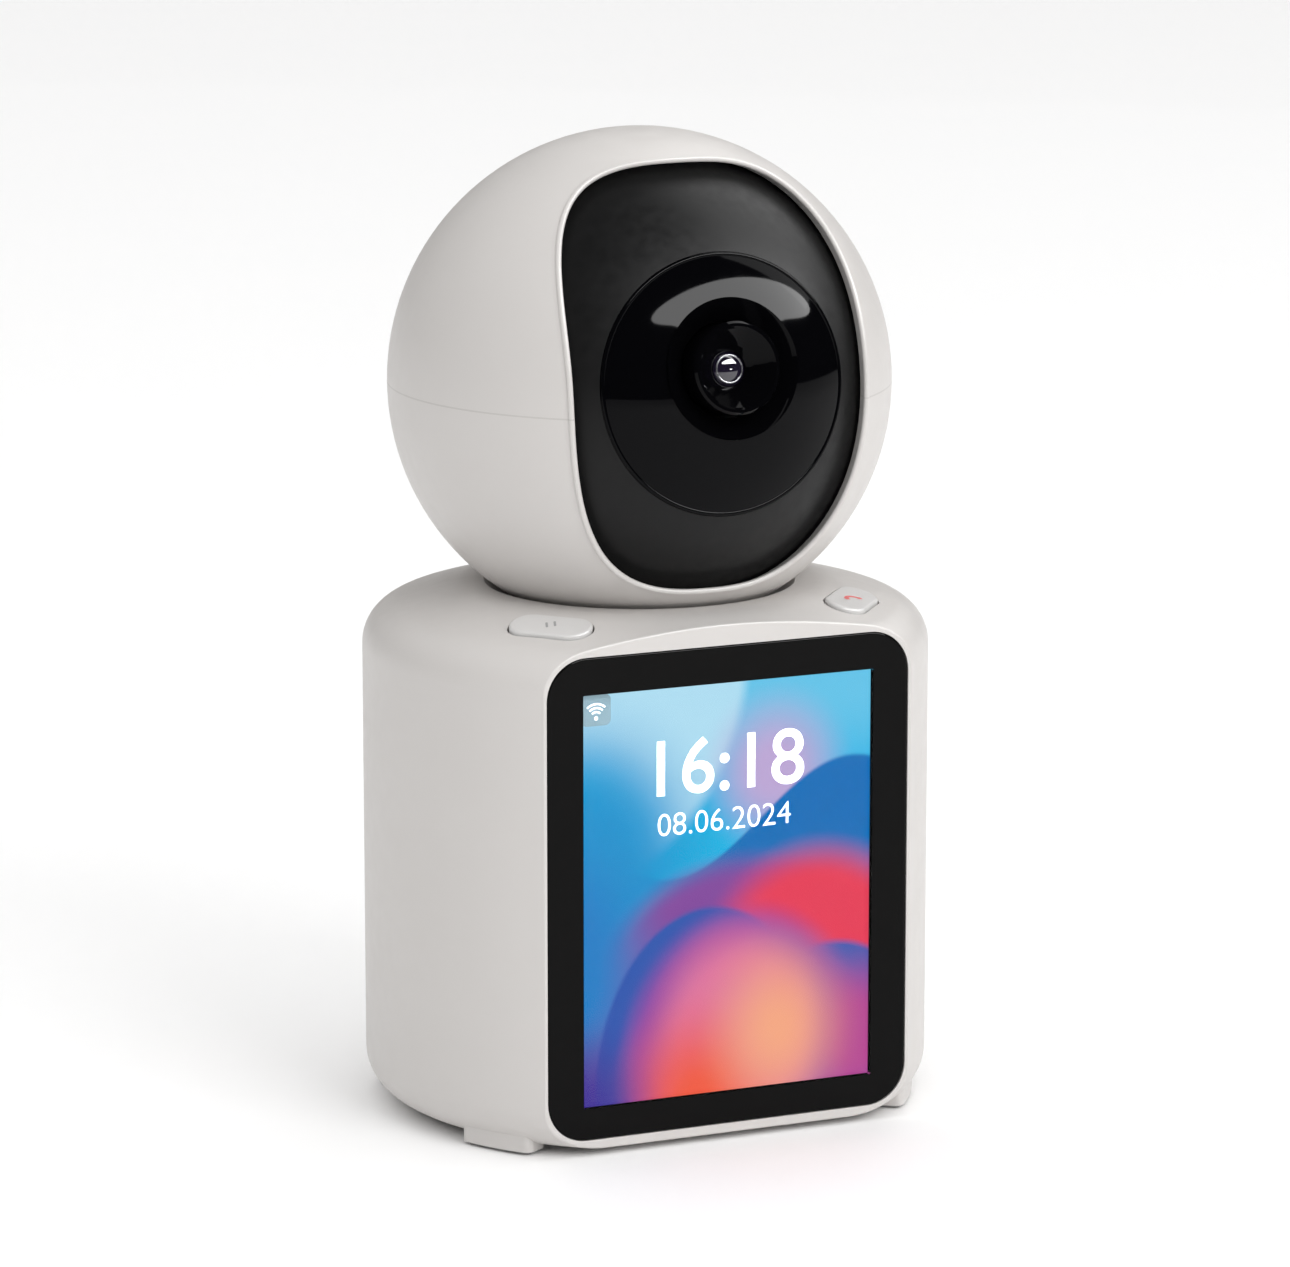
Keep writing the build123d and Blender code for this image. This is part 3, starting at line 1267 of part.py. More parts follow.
with BuildPart() as camera_board:
    with BuildSketch(aimed_plane(LENS_LIFT, CAMERA_BOARD_FRONT)):
        RectangleRounded(36, 30, 2)
        with Locations(*camera_posts_at):
            Circle(0.8, mode=Mode.SUBTRACT)
    extrude(amount=-CAMERA_BOARD_T)
camera_board.part.label = "camera_board"
export_step(camera_board.part, "parts/camera_board.step")

with BuildPart() as camera_screws:
    back_middle = aimed_plane(LENS_LIFT, CAMERA_BOARD_FRONT - CAMERA_BOARD_T).origin
    back = Plane(origin=back_middle, x_dir=(1, 0, 0), z_dir=-LENS_OUT)
    with Locations(*[back.location * Location((x, y, 0)) for x, y in camera_posts_at]):
        add(screw(1.4, 0.8, SMALL_THREAD_R, 5.0))
camera_screws.part.label = "camera_screws"
export_step(camera_screws.part, "parts/camera_screws.step")

with BuildPart() as led_board:
    with BuildSketch(aimed_plane(WINDOW_LIFT, LED_BOARD_FRONT - 0.9)):
        Circle(16.1)
    extrude(amount=0.9)
    with BuildSketch(aimed_plane(LENS_LIFT, 20)):
        Circle(HOOD_R + 0.4)
    extrude(amount=12, mode=Mode.SUBTRACT)
led_board.part.label = "led_board"
export_step(led_board.part, "parts/led_board.step")

with BuildPart() as window_leds:
    with BuildSketch(aimed_plane(WINDOW_LIFT, LED_BOARD_FRONT)):
        with Locations(*infrared_at):
            RectangleRounded(2.8, 2.8, 0.3)
        with Locations(*white_leds_at):
            RectangleRounded(2.8, 3.5, 0.3)
    extrude(amount=LED_T)
    with BuildSketch(aimed_plane(WINDOW_LIFT, LED_BOARD_FRONT + LED_T)):
        with Locations(*infrared_at):
            Circle(1.0)
    extrude(amount=0.4)
window_leds.part.label = "window_leds"
export_step(window_leds.part, "parts/window_leds.step")

with BuildPart() as tilt_motor:
    with BuildSketch(side_plane(TILT_MOTOR_FACE_X)):
        with Locations(tilt_motor_at):
            Circle(TILT_MOTOR_R)
    extrude(amount=TILT_MOTOR_H)
    fillet(tilt_motor.edges().group_by(Axis.X)[-1], 0.6)
    with BuildSketch(side_plane(TILT_MOTOR_FACE_X)):
        with Locations(Location(tilt_motor_at, TILT_MOTOR_DROP + 90)):
            SlotOverall(25.4, 3.4)
        with Locations(*tilt_ears_at):
            Circle(SMALL_THREAD_R, mode=Mode.SUBTRACT)
    extrude(amount=MOTOR_EAR_T)
    with BuildSketch(side_plane(TILT_MOTOR_FACE_X)):
        with Locations(tilt_motor_at):
            Circle(TILT_SHAFT_R + 0.05)
    extrude(amount=4, mode=Mode.SUBTRACT)
tilt_motor.part.label = "tilt_motor"
export_step(tilt_motor.part, "parts/tilt_motor.step")

with BuildPart() as tilt_motor_screws:
    outer_face = Plane(origin=(-DRUM_HALF_W, BALL_Y, BALL_Z), x_dir=(0, 1, 0), z_dir=(-1, 0, 0))
    with Locations(*[outer_face.location * Location((y, -z, 0)) for y, z in tilt_ears_at]):
        add(screw(1.3, 0.5, SMALL_THREAD_R, 2.4))
tilt_motor_screws.part.label = "tilt_motor_screws"
export_step(tilt_motor_screws.part, "parts/tilt_motor_screws.step")

with BuildPart() as tilt_pinion:
    with BuildSketch(side_plane(-SADDLE_X + 0.1)):
        with Locations(tilt_motor_at):
            pinion_turn = TILT_MOTOR_DROP + 165
            Polygon(*gear_outline(TILT_PINION_TEETH, TILT_MODULE, pinion_turn), align=None)
    extrude(amount=TILT_GEAR_T - 0.1)
    with BuildSketch(side_plane(-SADDLE_X + 0.1)):
        with Locations(tilt_motor_at):
            Circle(TILT_SHAFT_R)
    extrude(amount=6.5)
tilt_pinion.part.label = "tilt_pinion"
export_step(tilt_pinion.part, "parts/tilt_pinion.step")
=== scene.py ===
import math

import bpy
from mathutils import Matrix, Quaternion, Vector


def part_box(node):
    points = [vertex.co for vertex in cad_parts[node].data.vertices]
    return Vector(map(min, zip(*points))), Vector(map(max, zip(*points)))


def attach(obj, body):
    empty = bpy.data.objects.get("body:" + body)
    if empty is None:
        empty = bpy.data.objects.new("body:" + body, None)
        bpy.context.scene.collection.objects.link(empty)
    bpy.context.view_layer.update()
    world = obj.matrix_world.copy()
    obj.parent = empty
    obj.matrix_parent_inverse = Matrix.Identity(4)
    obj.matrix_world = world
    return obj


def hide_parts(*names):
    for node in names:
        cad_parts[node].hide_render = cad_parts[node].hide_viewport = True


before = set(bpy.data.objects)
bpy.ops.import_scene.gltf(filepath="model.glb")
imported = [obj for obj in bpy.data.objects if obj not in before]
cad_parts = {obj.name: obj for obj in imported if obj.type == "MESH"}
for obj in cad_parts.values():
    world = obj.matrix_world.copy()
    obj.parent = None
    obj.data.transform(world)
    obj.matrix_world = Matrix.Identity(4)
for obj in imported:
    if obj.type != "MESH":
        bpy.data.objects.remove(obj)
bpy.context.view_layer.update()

# The camera looks at the display from its left and a little above. It has a
# long lens and stands well back, so the upright edges stay nearly parallel.
camera_turn = math.radians(-23.754)
camera_lift = math.radians(11.899)
camera_distance = 0.82469
camera_drop = 0.00373
camera_aim = Vector((0, -0.003645, 0.0695))
towards_camera = Vector((
    math.sin(camera_turn) * math.cos(camera_lift),
    -math.cos(camera_turn) * math.cos(camera_lift),
    math.sin(camera_lift),
))
camera_data = bpy.data.cameras.new("camera")
camera_data.sensor_width = 36
camera_data.lens = 164.9
camera = bpy.data.objects.new("camera", camera_data)
camera.rotation_euler = towards_camera.to_track_quat("Z", "Y").to_euler()
camera_up = camera.rotation_euler.to_matrix() @ Vector((0, 1, 0))
camera.location = camera_aim - camera_up * camera_drop + towards_camera * camera_distance
bpy.context.scene.collection.objects.link(camera)
bpy.context.scene.camera = camera

# The table is a wide pale board with a matt paint rolled on. It carries the
# soft shadow and throws light back up on the underside of the ball.
mm = 0.001


def make_finish(name, colour, roughness, metallic=0.0, specular=0.5):
    """A material with its plain values on the shader; its texture comes after."""
    finish = bpy.data.materials.new(name)
    finish.use_nodes = True
    shader = finish.node_tree.nodes["Principled BSDF"]
    shader.inputs["Base Color"].default_value = (*colour, 1)
    shader.inputs["Roughness"].default_value = roughness
    shader.inputs["Metallic"].default_value = metallic
    shader.inputs["Specular IOR Level"].default_value = specular
    return finish


def speckle(finish, grain, detail=2.0):
    """Noise at a grain given in millimetres, fixed to the piece."""
    nodes, links = finish.node_tree.nodes, finish.node_tree.links
    place = nodes.new("ShaderNodeTexCoord")
    noise = nodes.new("ShaderNodeTexNoise")
    noise.inputs["Scale"].default_value = 1 / (grain * mm)
    noise.inputs["Detail"].default_value = detail
    links.new(place.outputs["Object"], noise.inputs["Vector"])
    return noise.outputs["Fac"]


def spread(finish, value, low, high):
    """The middle of a noise, where nearly all of it lies, stretched from low to high."""
    node = finish.node_tree.nodes.new("ShaderNodeMapRange")
    node.inputs["From Min"].default_value = 0.3
    node.inputs["From Max"].default_value = 0.7
    node.inputs["To Min"].default_value = low
    node.inputs["To Max"].default_value = high
    finish.node_tree.links.new(value, node.inputs["Value"])
    return node.outputs["Result"]


def tint(finish, value, first, second):
    """The finish's colour runs from the first to the second with the value."""
    mix = finish.node_tree.nodes.new("ShaderNodeMix")
    mix.data_type = "RGBA"
    mix.inputs["A"].default_value = (*first, 1)
    mix.inputs["B"].default_value = (*second, 1)
    finish.node_tree.links.new(value, mix.inputs["Factor"])
    shader = finish.node_tree.nodes["Principled BSDF"]
    finish.node_tree.links.new(mix.outputs["Result"], shader.inputs["Base Color"])
    return mix.outputs["Result"]


def scuff(finish, value, low, high):
    """Roughness that runs from low to high with the value."""
    shader = finish.node_tree.nodes["Principled BSDF"]
    finish.node_tree.links.new(spread(finish, value, low, high), shader.inputs["Roughness"])


def build_piece(name, vertices, faces, finish):
    """A mesh object from points in metres."""
    mesh = bpy.data.meshes.new(name)
    mesh.from_pydata(vertices, [], faces)
    mesh.materials.append(finish)
    piece = bpy.data.objects.new(name, mesh)
    bpy.context.scene.collection.objects.link(piece)
    return piece


table_half = 6.0
table_paint = make_finish("pale_table", (0.9, 0.9, 0.9), 0.55, specular=0.2)
tint(table_paint, speckle(table_paint, 40.0), (0.96, 0.96, 0.96), (0.975, 0.97, 0.968))
scuff(table_paint, speckle(table_paint, 3.0), 0.5, 0.6)
table_corners = [(-table_half, -table_half, 0), (table_half, -table_half, 0),
                 (table_half, table_half, 0), (-table_half, table_half, 0)]
table = build_piece("table", table_corners, [(0, 1, 2, 3)], table_paint)


# The studio has a wide ceiling light, a soft box in front and an even room.
# Only two lamps show in gloss: a strip up in front, and one high at the right.
def soft_box(name, place, aim, width, height, power, shape="RECTANGLE", roll=0.0):
    """A flat lamp at a place, turned to face its aim and rolled about that line."""
    data = bpy.data.lights.new(name, "AREA")
    data.shape = shape
    data.size = width
    data.size_y = height
    data.energy = power
    lamp = bpy.data.objects.new(name, data)
    lamp.location = place
    facing = (Vector(place) - Vector(aim)).to_track_quat("Z", "Y")
    lamp.rotation_euler = (facing @ Quaternion((0, 0, 1), math.radians(roll))).to_euler()
    bpy.context.scene.collection.objects.link(lamp)
    return lamp


room = bpy.data.worlds.new("room")
room.use_nodes = True
room_light = room.node_tree.nodes["Background"]
room_light.inputs["Color"].default_value = (1, 1, 1, 1)
room_light.inputs["Strength"].default_value = 0.30
room.cycles_visibility.glossy = False
bpy.context.scene.world = room
bpy.context.scene.view_settings.view_transform = "Standard"
middle = (0, 0, 0.08)
ceiling_light = soft_box("ceiling_light", (0, 0, 5.0), (0, 0, 0), 16.0, 16.0, power=800)
ceiling_light.visible_glossy = False
key_light = soft_box("key_light", (0.40, -1.35, 0.85), middle, 0.9, 0.9, power=9.5)
key_light.visible_glossy = False
strip_light = soft_box("strip_light", (0.50, -0.68, 0.78), middle, 1.9, 0.36, power=30,
                       shape="ELLIPSE", roll=-14)
strip_light.visible_diffuse = False
edge_light = soft_box("edge_light", (0.79, 0.21, 0.96), middle, 1.3, 1.0, power=9)
edge_light.visible_diffuse = False


# The body shell and the base plate that closes it are moulded in warm white
# ABS. Their tools are spark eroded, which leaves a matt skin with a very
# fine, even grain. The plate goes in from below and is held by screws.
def paint(finish, *names):
    """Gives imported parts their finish."""
    for name in names:
        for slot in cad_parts[name].material_slots:
            slot.material = finish


def relief(finish, value, depth):
    """A raised texture; its depth is in millimetres."""
    bump = finish.node_tree.nodes.new("ShaderNodeBump")
    bump.inputs["Strength"].default_value = 1
    bump.inputs["Distance"].default_value = depth * mm
    finish.node_tree.links.new(value, bump.inputs["Height"])
    shader = finish.node_tree.nodes["Principled BSDF"]
    finish.node_tree.links.new(bump.outputs["Normal"], shader.inputs["Normal"])


def white_moulding(name):
    """Warm white ABS with an eroded skin, and the socket that its colour comes from."""
    finish = make_finish(name, (0.60, 0.577, 0.558), 0.42)
    colour = tint(finish, speckle(finish, 18.0), (0.595, 0.572, 0.553), (0.615, 0.593, 0.575))
    scuff(finish, speckle(finish, 2.5), 0.38, 0.48)
    relief(finish, speckle(finish, 0.35, 3.0), 0.004)
    return finish, colour


white_abs, _ = white_moulding("warm_white_abs")
paint(white_abs, "body_shell", "base_plate")

# The four feet are cut from a sheet of grey silicone rubber. Each is stuck in
# a shallow seat of its own under the column.
foot_rubber = make_finish("grey_silicone", (0.30, 0.30, 0.30), 0.75)
tint(foot_rubber, speckle(foot_rubber, 1.5), (0.27, 0.27, 0.27), (0.34, 0.34, 0.335))
relief(foot_rubber, speckle(foot_rubber, 0.2, 3.0), 0.01)
paint(foot_rubber, "foot_pads")

# Every screw is pan-headed steel with a bright zinc skin, tumbled in barrels.
# The two pins that the drum turns on are the same steel and the same skin.
zinc_steel = make_finish("zinc_plated_steel", (0.62, 0.63, 0.65), 0.3, metallic=1.0)
tint(zinc_steel, speckle(zinc_steel, 0.8), (0.56, 0.57, 0.59), (0.70, 0.70, 0.71))
scuff(zinc_steel, speckle(zinc_steel, 0.3), 0.22, 0.42)
relief(zinc_steel, speckle(zinc_steel, 0.15), 0.002)
paint(zinc_steel, "base_screws", "display_screws", "board_screws", "keypad_screws", "bracket_screws",
      "motor_screws", "pan_gear_screws", "head_screws", "camera_screws", "tilt_motor_screws", "tilt_pins")

# The screen cover is 1.1 mm toughened glass with a ground and polished edge.
# Its back is printed black around the picture, so it is made in two pieces:
# the black border with its rounded edge, and the clear pane in the middle.
cover_glass = make_finish("clear_cover_glass", (1, 1, 1), 0.0)
cover_shader = cover_glass.node_tree.nodes["Principled BSDF"]
cover_shader.inputs["Transmission Weight"].default_value = 1.0
cover_shader.inputs["IOR"].default_value = 1.18
glass_low, glass_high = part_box("screen_glass")
panel_low, panel_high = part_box("display_panel")
picture_half_width = 21.6 * mm
picture_half_height = 28.8 * mm
picture_middle = (panel_low.z + panel_high.z) / 2 + 0.13 * mm
glass_radius = 5.7 * mm
glass_bevel = 0.3 * mm


def rounded_outline(half_width, half_height, radius, steps=12, middle_x=0.0, middle_z=0.0):
    """Corner points of a rounded rectangle in the x-z plane, going round once."""
    outline = []
    for corner, (side_x, side_z) in enumerate(((1, 1), (-1, 1), (-1, -1), (1, -1))):
        for step in range(steps + 1):
            turn = math.radians(90 * corner + 90 * step / steps)
            outline.append((
                middle_x + side_x * (half_width - radius) + radius * math.cos(turn),
                middle_z + side_z * (half_height - radius) + radius * math.sin(turn),
            ))
    return outline


def stack_loops(name, loops, finish):
    """A skin through loops with as many points each; the last joins the first."""
    count = len(loops[0])
    points = [point for loop in loops for point in loop]
    faces = []
    for k in range(len(loops)):
        this, after = k * count, (k + 1) % len(loops) * count
        faces += [(this + i, after + i, after + (i + 1) % count, this + (i + 1) % count)
                  for i in range(count)]
    return build_piece(name, points, faces, finish)


def outline_at(depth, inset):
    """The edge of the cover, drawn in by an inset, at a depth in y."""
    outline = rounded_outline(glass_high.x - inset, (glass_high.z - glass_low.z) / 2 - inset,
                              glass_radius - inset, middle_z=(glass_high.z + glass_low.z) / 2)
    return [(x, depth, z) for x, z in outline]


def opening_at(depth):
    """The edge of the picture at a depth in y."""
    outline = rounded_outline(picture_half_width, picture_half_height, 0.2 * mm, middle_z=picture_middle)
    return [(x, depth, z) for x, z in outline]


printed_glass = make_finish("black_printed_glass", (0.004, 0.004, 0.004), 0.05, specular=0.06)
tint(printed_glass, speckle(printed_glass, 4.0), (0.0035, 0.0035, 0.0035), (0.0048, 0.0046, 0.0045))
scuff(printed_glass, speckle(printed_glass, 9.0), 0.03, 0.08)
bevel_steps = 5
border_loops = [opening_at(glass_high.y), opening_at(glass_low.y)]
for step in range(bevel_steps + 1):
    bevel_turn = math.radians(90 * step / bevel_steps)
    border_loops.append(outline_at(glass_low.y + glass_bevel * (1 - math.cos(bevel_turn)),
                                   glass_bevel * (1 - math.sin(bevel_turn))))
border_loops.append(outline_at(glass_high.y, 0))
cover_border = stack_loops("screen_cover_border", border_loops, printed_glass)
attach(cover_border, "base")
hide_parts("screen_glass")
pane_front, pane_back = opening_at(glass_low.y), opening_at(glass_high.y)
pane_count = len(pane_front)
pane_faces = [list(range(pane_count)), [pane_count + i for i in reversed(range(pane_count))]]
pane_faces += [(i, pane_count + i, pane_count + (i + 1) % pane_count, (i + 1) % pane_count)
               for i in range(pane_count)]
cover_pane = build_piece("screen_cover_pane", pane_front + pane_back, pane_faces, cover_glass)
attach(cover_pane, "base")

# The display panel is a colour liquid crystal behind the cover. It shows a
# plain drift of colour: pale sky, a blue swell, a red band and a warm dome
# that rises from the bottom edge. Places on it run from -1 to 1 each way.
picture = bpy.data.materials.new("lit_picture")
picture.use_nodes = True
picture_nodes = picture.node_tree.nodes
picture_links = picture.node_tree.links
picture_place = picture_nodes.new("ShaderNodeTexCoord")
picture_split = picture_nodes.new("ShaderNodeSeparateXYZ")
picture_links.new(picture_place.outputs["Object"], picture_split.inputs["Vector"])


def work(operation, first, second=0.0, third=0.0):
    """One step of sums on the picture; each value is a number or a socket."""
    node = picture_nodes.new("ShaderNodeMath")
    node.operation = operation
    for socket, value in zip(node.inputs, (first, second, third)):
        if isinstance(value, (int, float)):
            socket.default_value = value
        else:
            picture_links.new(value, socket)
    return node.outputs["Value"]


def step_over(value, start, end):
    """Rises smoothly from 0 at the start to 1 at the end."""
    node = picture_nodes.new("ShaderNodeMapRange")
    node.interpolation_type = "SMOOTHSTEP"
    node.inputs["From Min"].default_value = start
    node.inputs["From Max"].default_value = end
    picture_links.new(value, node.inputs["Value"])
    return node.outputs["Result"]


def lay_colour(under, colour, amount):
    """A colour over what is there, by an amount from 0 to 1."""
    mix = picture_nodes.new("ShaderNodeMix")
    mix.data_type = "RGBA"
    for socket, value in ((mix.inputs["A"], under), (mix.inputs["B"], colour)):
        if isinstance(value, tuple):
            socket.default_value = (*value, 1)
        else:
            picture_links.new(value, socket)
    picture_links.new(amount, mix.inputs["Factor"])
    return mix.outputs["Result"]


across = work("DIVIDE", picture_split.outputs["X"], picture_half_width)
upward = work("DIVIDE", work("SUBTRACT", picture_split.outputs["Z"], picture_middle), picture_half_height)


def distance_from(x, z, squeeze):
    """How far a point of the picture is from a place on it; a squeeze below 1 makes circles wide."""
    side = work("MULTIPLY", work("SUBTRACT", across, x), squeeze)
    rise = work("SUBTRACT", upward, z)
    return work("SQRT", work("ADD", work("MULTIPLY", side, side), work("MULTIPLY", rise, rise)))


def below_wave(height, swing, turns, start):
    """How far a point of the picture lies below a wavy line."""
    line = work("MULTIPLY_ADD", work("SINE", work("MULTIPLY_ADD", across, turns, start)), swing, height)
    return work("SUBTRACT", line, upward)


def lay_glow(under, colour, x, z, squeeze, outer, inner):
    """A round spot of colour: none of it past the outer radius, all of it inside the inner."""
    return lay_colour(under, colour, step_over(distance_from(x, z, squeeze), outer, inner))


sky = lay_colour((0.12, 0.54, 0.80), (0.005, 0.44, 0.77), step_over(upward, 0.9, 0.35))
sky = lay_glow(sky, (0.42, 0.72, 0.88), -1.05, 1.15, 0.9, 1.12, 1.02)
sky = lay_glow(sky, (0.005, 0.46, 0.78), -1.1, 0.2, 0.8, 0.70, 0.30)
sky = lay_glow(sky, (0.50, 0.38, 0.66), 0.34, 0.55, 0.8, 0.46, 0.08)
swell = below_wave(0.34, 0.26, turns=2.5, start=-0.6)
sky = lay_colour(sky, (0.0, 0.15, 0.48), step_over(swell, 0.0, 0.03))
sky = lay_glow(sky, (0.005, 0.28, 0.62), -0.95, 0.12, 0.9, 0.95, 0.2)
sky = lay_glow(sky, (0.22, 0.06, 0.33), 0.12, -0.95, 0.85, 1.15, 0.98)
sky = lay_glow(sky, (0.78, 0.04, 0.09), 0.62, -0.42, 0.75, 0.66, 0.42)
sky = lay_glow(sky, (0.01, 0.20, 0.56), -1.3, -0.35, 0.8, 0.80, 0.30)
sky = lay_glow(sky, (0.022, 0.09, 0.42), -0.12, -0.97, 1.12, 0.90, 0.86)
sky = lay_glow(sky, (0.05, 0.10, 0.42), 0.75, -1.02, 1.0, 0.72, 0.67)
sky = lay_glow(sky, (0.28, 0.06, 0.36), 0.12, -0.9, 0.92, 0.86, 0.66)
sky = lay_glow(sky, (0.72, 0.17, 0.33), 0.08, -0.74, 0.95, 0.66, 0.34)
sky = lay_glow(sky, (0.46, 0.06, 0.28), 0.92, -0.8, 1.1, 0.48, 0.12)
sky = lay_glow(sky, (0.86, 0.10, 0.05), -0.18, -1.02, 0.8, 0.58, 0.06)
sky = lay_glow(sky, (0.90, 0.38, 0.22), 0.36, -0.72, 0.92, 0.58, 0.02)
sky = lay_glow(sky, (0.05, 0.03, 0.30), -1.1, -1.1, 0.9, 0.62, 0.15)
picture_shader = picture_nodes["Principled BSDF"]
picture_shader.inputs["Roughness"].default_value = 0.5
picture_shader.inputs["Specular IOR Level"].default_value = 0.0
picture_shader.inputs["Emission Strength"].default_value = 1.0
picture_links.new(sky, picture_shader.inputs["Emission Color"])
picture_shader.inputs["Base Color"].default_value = (0.002, 0.002, 0.002, 1)
paint(picture, "display_panel")

# The clock, the date and the signal mark are parts of the lit picture. They
# are made as thin plates, a hair in front of it, so their edges stay sharp.
lit_white = make_finish("lit_figures", (0.9, 0.95, 1.0), 0.4)
lit_shader = lit_white.node_tree.nodes["Principled BSDF"]
lit_shader.inputs["Emission Color"].default_value = (0.93, 0.98, 1.0, 1)
lit_shader.inputs["Emission Strength"].default_value = 0.85
figure_front = glass_high.y - 0.16 * mm
figure_back = glass_high.y - 0.13 * mm
figures_middle = -0.4 * mm
font_size_per_height = 1.38


def lit_figures(name, text, height, middle_z, boldness):
    """Figures of the given height, made stouter or finer by their boldness."""
    curve = bpy.data.curves.new(name, "FONT")
    curve.body = text
    curve.size = height * font_size_per_height
    curve.align_x = "CENTER"
    curve.offset = boldness
    curve.extrude = (figure_back - figure_front) / 2
    curve.resolution_u = 6
    words = bpy.data.objects.new(name + "_outline", curve)
    bpy.context.scene.collection.objects.link(words)
    words.rotation_euler = (math.radians(90), 0, 0)
    words.location = (figures_middle, (figure_back + figure_front) / 2, middle_z - height / 2)
    bpy.context.view_layer.update()
    mesh = bpy.data.meshes.new_from_object(words.evaluated_get(bpy.context.evaluated_depsgraph_get()))
    mesh.transform(words.matrix_world)
    mesh.materials.clear()
    mesh.materials.append(lit_white)
    bpy.data.objects.remove(words)
    piece = bpy.data.objects.new(name, mesh)
    bpy.context.scene.collection.objects.link(piece)
    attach(piece, "base")


lit_figures("clock_figures", "16:18", 8.0 * mm, middle_z=53.4 * mm, boldness=0.05 * mm)
lit_figures("date_figures", "08.06.2024", 3.3 * mm, middle_z=45.4 * mm, boldness=-0.05 * mm)


def arc_band(middle_x, middle_z, inner, outer, start, end, steps=14):
    """Outline of a stretch of ring in the x-z plane, its angles in degrees."""
    turns = [math.radians(start + (end - start) * i / steps) for i in range(steps + 1)]
    outline = [(middle_x + outer * math.cos(t), middle_z + outer * math.sin(t)) for t in turns]
    outline += [(middle_x + inner * math.cos(t), middle_z + inner * math.sin(t)) for t in reversed(turns)]
    return outline


def thin_plates(name, outlines, front, back, finish):
    """Flat plates cut to outlines in the x-z plane, joined in one mesh."""
    points, faces = [], []
    for outline in outlines:
        first, count = len(points), len(outline)
        points += [(x, front, z) for x, z in outline] + [(x, back, z) for x, z in outline]
        faces.append([first + i for i in range(count)])
        faces.append([first + count + i for i in reversed(range(count))])
        for i in range(count):
            j = (i + 1) % count
            faces.append((first + i, first + count + i, first + count + j, first + j))
    return build_piece(name, points, faces, finish)


badge_grey = make_finish("signal_badge_grey", (0.08, 0.13, 0.16), 0.5)
tint(badge_grey, speckle(badge_grey, 1.5), (0.07, 0.12, 0.15), (0.09, 0.14, 0.17))
badge_shader = badge_grey.node_tree.nodes["Principled BSDF"]
badge_shader.inputs["Emission Color"].default_value = (0.20, 0.31, 0.36, 1)
badge_shader.inputs["Emission Strength"].default_value = 0.8
badge_half = 2.15 * mm
badge_corner = 0.8 * mm
badge_x = -picture_half_width + 2.2 * mm
badge_z = picture_middle + picture_half_height - 2.3 * mm
badge_outline = rounded_outline(badge_half, badge_half, badge_corner, 6, badge_x, badge_z)
badge = thin_plates("signal_badge", [badge_outline], figure_back, figure_back + 0.01 * mm, badge_grey)
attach(badge, "base")
signal_foot = badge_z - 1.1 * mm
arc_width = 0.24
dot_radius = 0.28 * mm
dot_middle = 0.0001 * mm
signal_outlines = [arc_band(badge_x, signal_foot, radius * mm, (radius + arc_width) * mm, 48, 132)
                   for radius in (0.75, 1.3, 1.85)]
signal_outlines.append(arc_band(badge_x, signal_foot, dot_middle, dot_radius, 0, 350))
signal = thin_plates("signal_mark", signal_outlines, figure_front, figure_back, lit_white)
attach(signal, "base")

# The two keys are moulded in white ABS, a little smoother than the shell they
# sit in. Each has a small mark printed on its top: a red handset on one and
# two grey bars on the other.
key_abs = make_finish("key_white_abs", (0.65, 0.64, 0.63), 0.34)
tint(key_abs, speckle(key_abs, 6.0), (0.64, 0.63, 0.62), (0.67, 0.66, 0.65))
scuff(key_abs, speckle(key_abs, 1.2), 0.3, 0.4)
relief(key_abs, speckle(key_abs, 0.3, 3.0), 0.003)
paint(key_abs, "call_button", "mute_button")


def print_on_key(name, key, outlines, turn, finish):
    """Marks on a key's top, turned by an angle; each point drops on to the moulding."""
    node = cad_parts[key]
    low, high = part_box(key)
    key_middle = (low + high) / 2
    lift = 0.02 * mm
    c, s = math.cos(turn), math.sin(turn)
    points, faces = [], []
    for outline in outlines:
        faces.append([len(points) + i for i in range(len(outline))])
        for x, y in outline:
            start = Vector((key_middle.x + c * x - s * y, key_middle.y + s * x + c * y, high.z + mm))
            _, place, _, _ = node.ray_cast(start, Vector((0, 0, -1)))
            points.append(place + Vector((0, 0, lift)))
    piece = build_piece(name, points, faces, finish)
    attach(piece, key + "_body")


red_ink = make_finish("red_ink", (0.72, 0.14, 0.14), 0.5)
tint(red_ink, speckle(red_ink, 0.4), (0.70, 0.12, 0.12), (0.76, 0.17, 0.17))
grey_ink = make_finish("grey_ink", (0.35, 0.35, 0.35), 0.5)
tint(grey_ink, speckle(grey_ink, 0.4), (0.33, 0.33, 0.33), (0.38, 0.38, 0.38))
mark_corner = 0.15 * mm
key_turn = math.radians(20)
earpiece_half_width = 0.42 * mm
earpiece_half_height = 0.34 * mm
earpiece_x = 1.2 * mm
earpiece_z = -0.35 * mm
handset = [arc_band(0, -1.1 * mm, 1.15 * mm, 1.75 * mm, 40, 140)]
handset += [rounded_outline(earpiece_half_width, earpiece_half_height, mark_corner, 4, x, earpiece_z)
            for x in (-earpiece_x, earpiece_x)]
print_on_key("call_mark", "call_button", handset, key_turn, red_ink)
bar_half_width = 0.16 * mm
bar_half_height = 0.75 * mm
bar_x = 0.55 * mm
mute_bars = [rounded_outline(bar_half_width, bar_half_height, mark_corner, 4, x) for x in (bar_x, -bar_x)]
print_on_key("mute_mark", "mute_button", mute_bars, -key_turn, grey_ink)

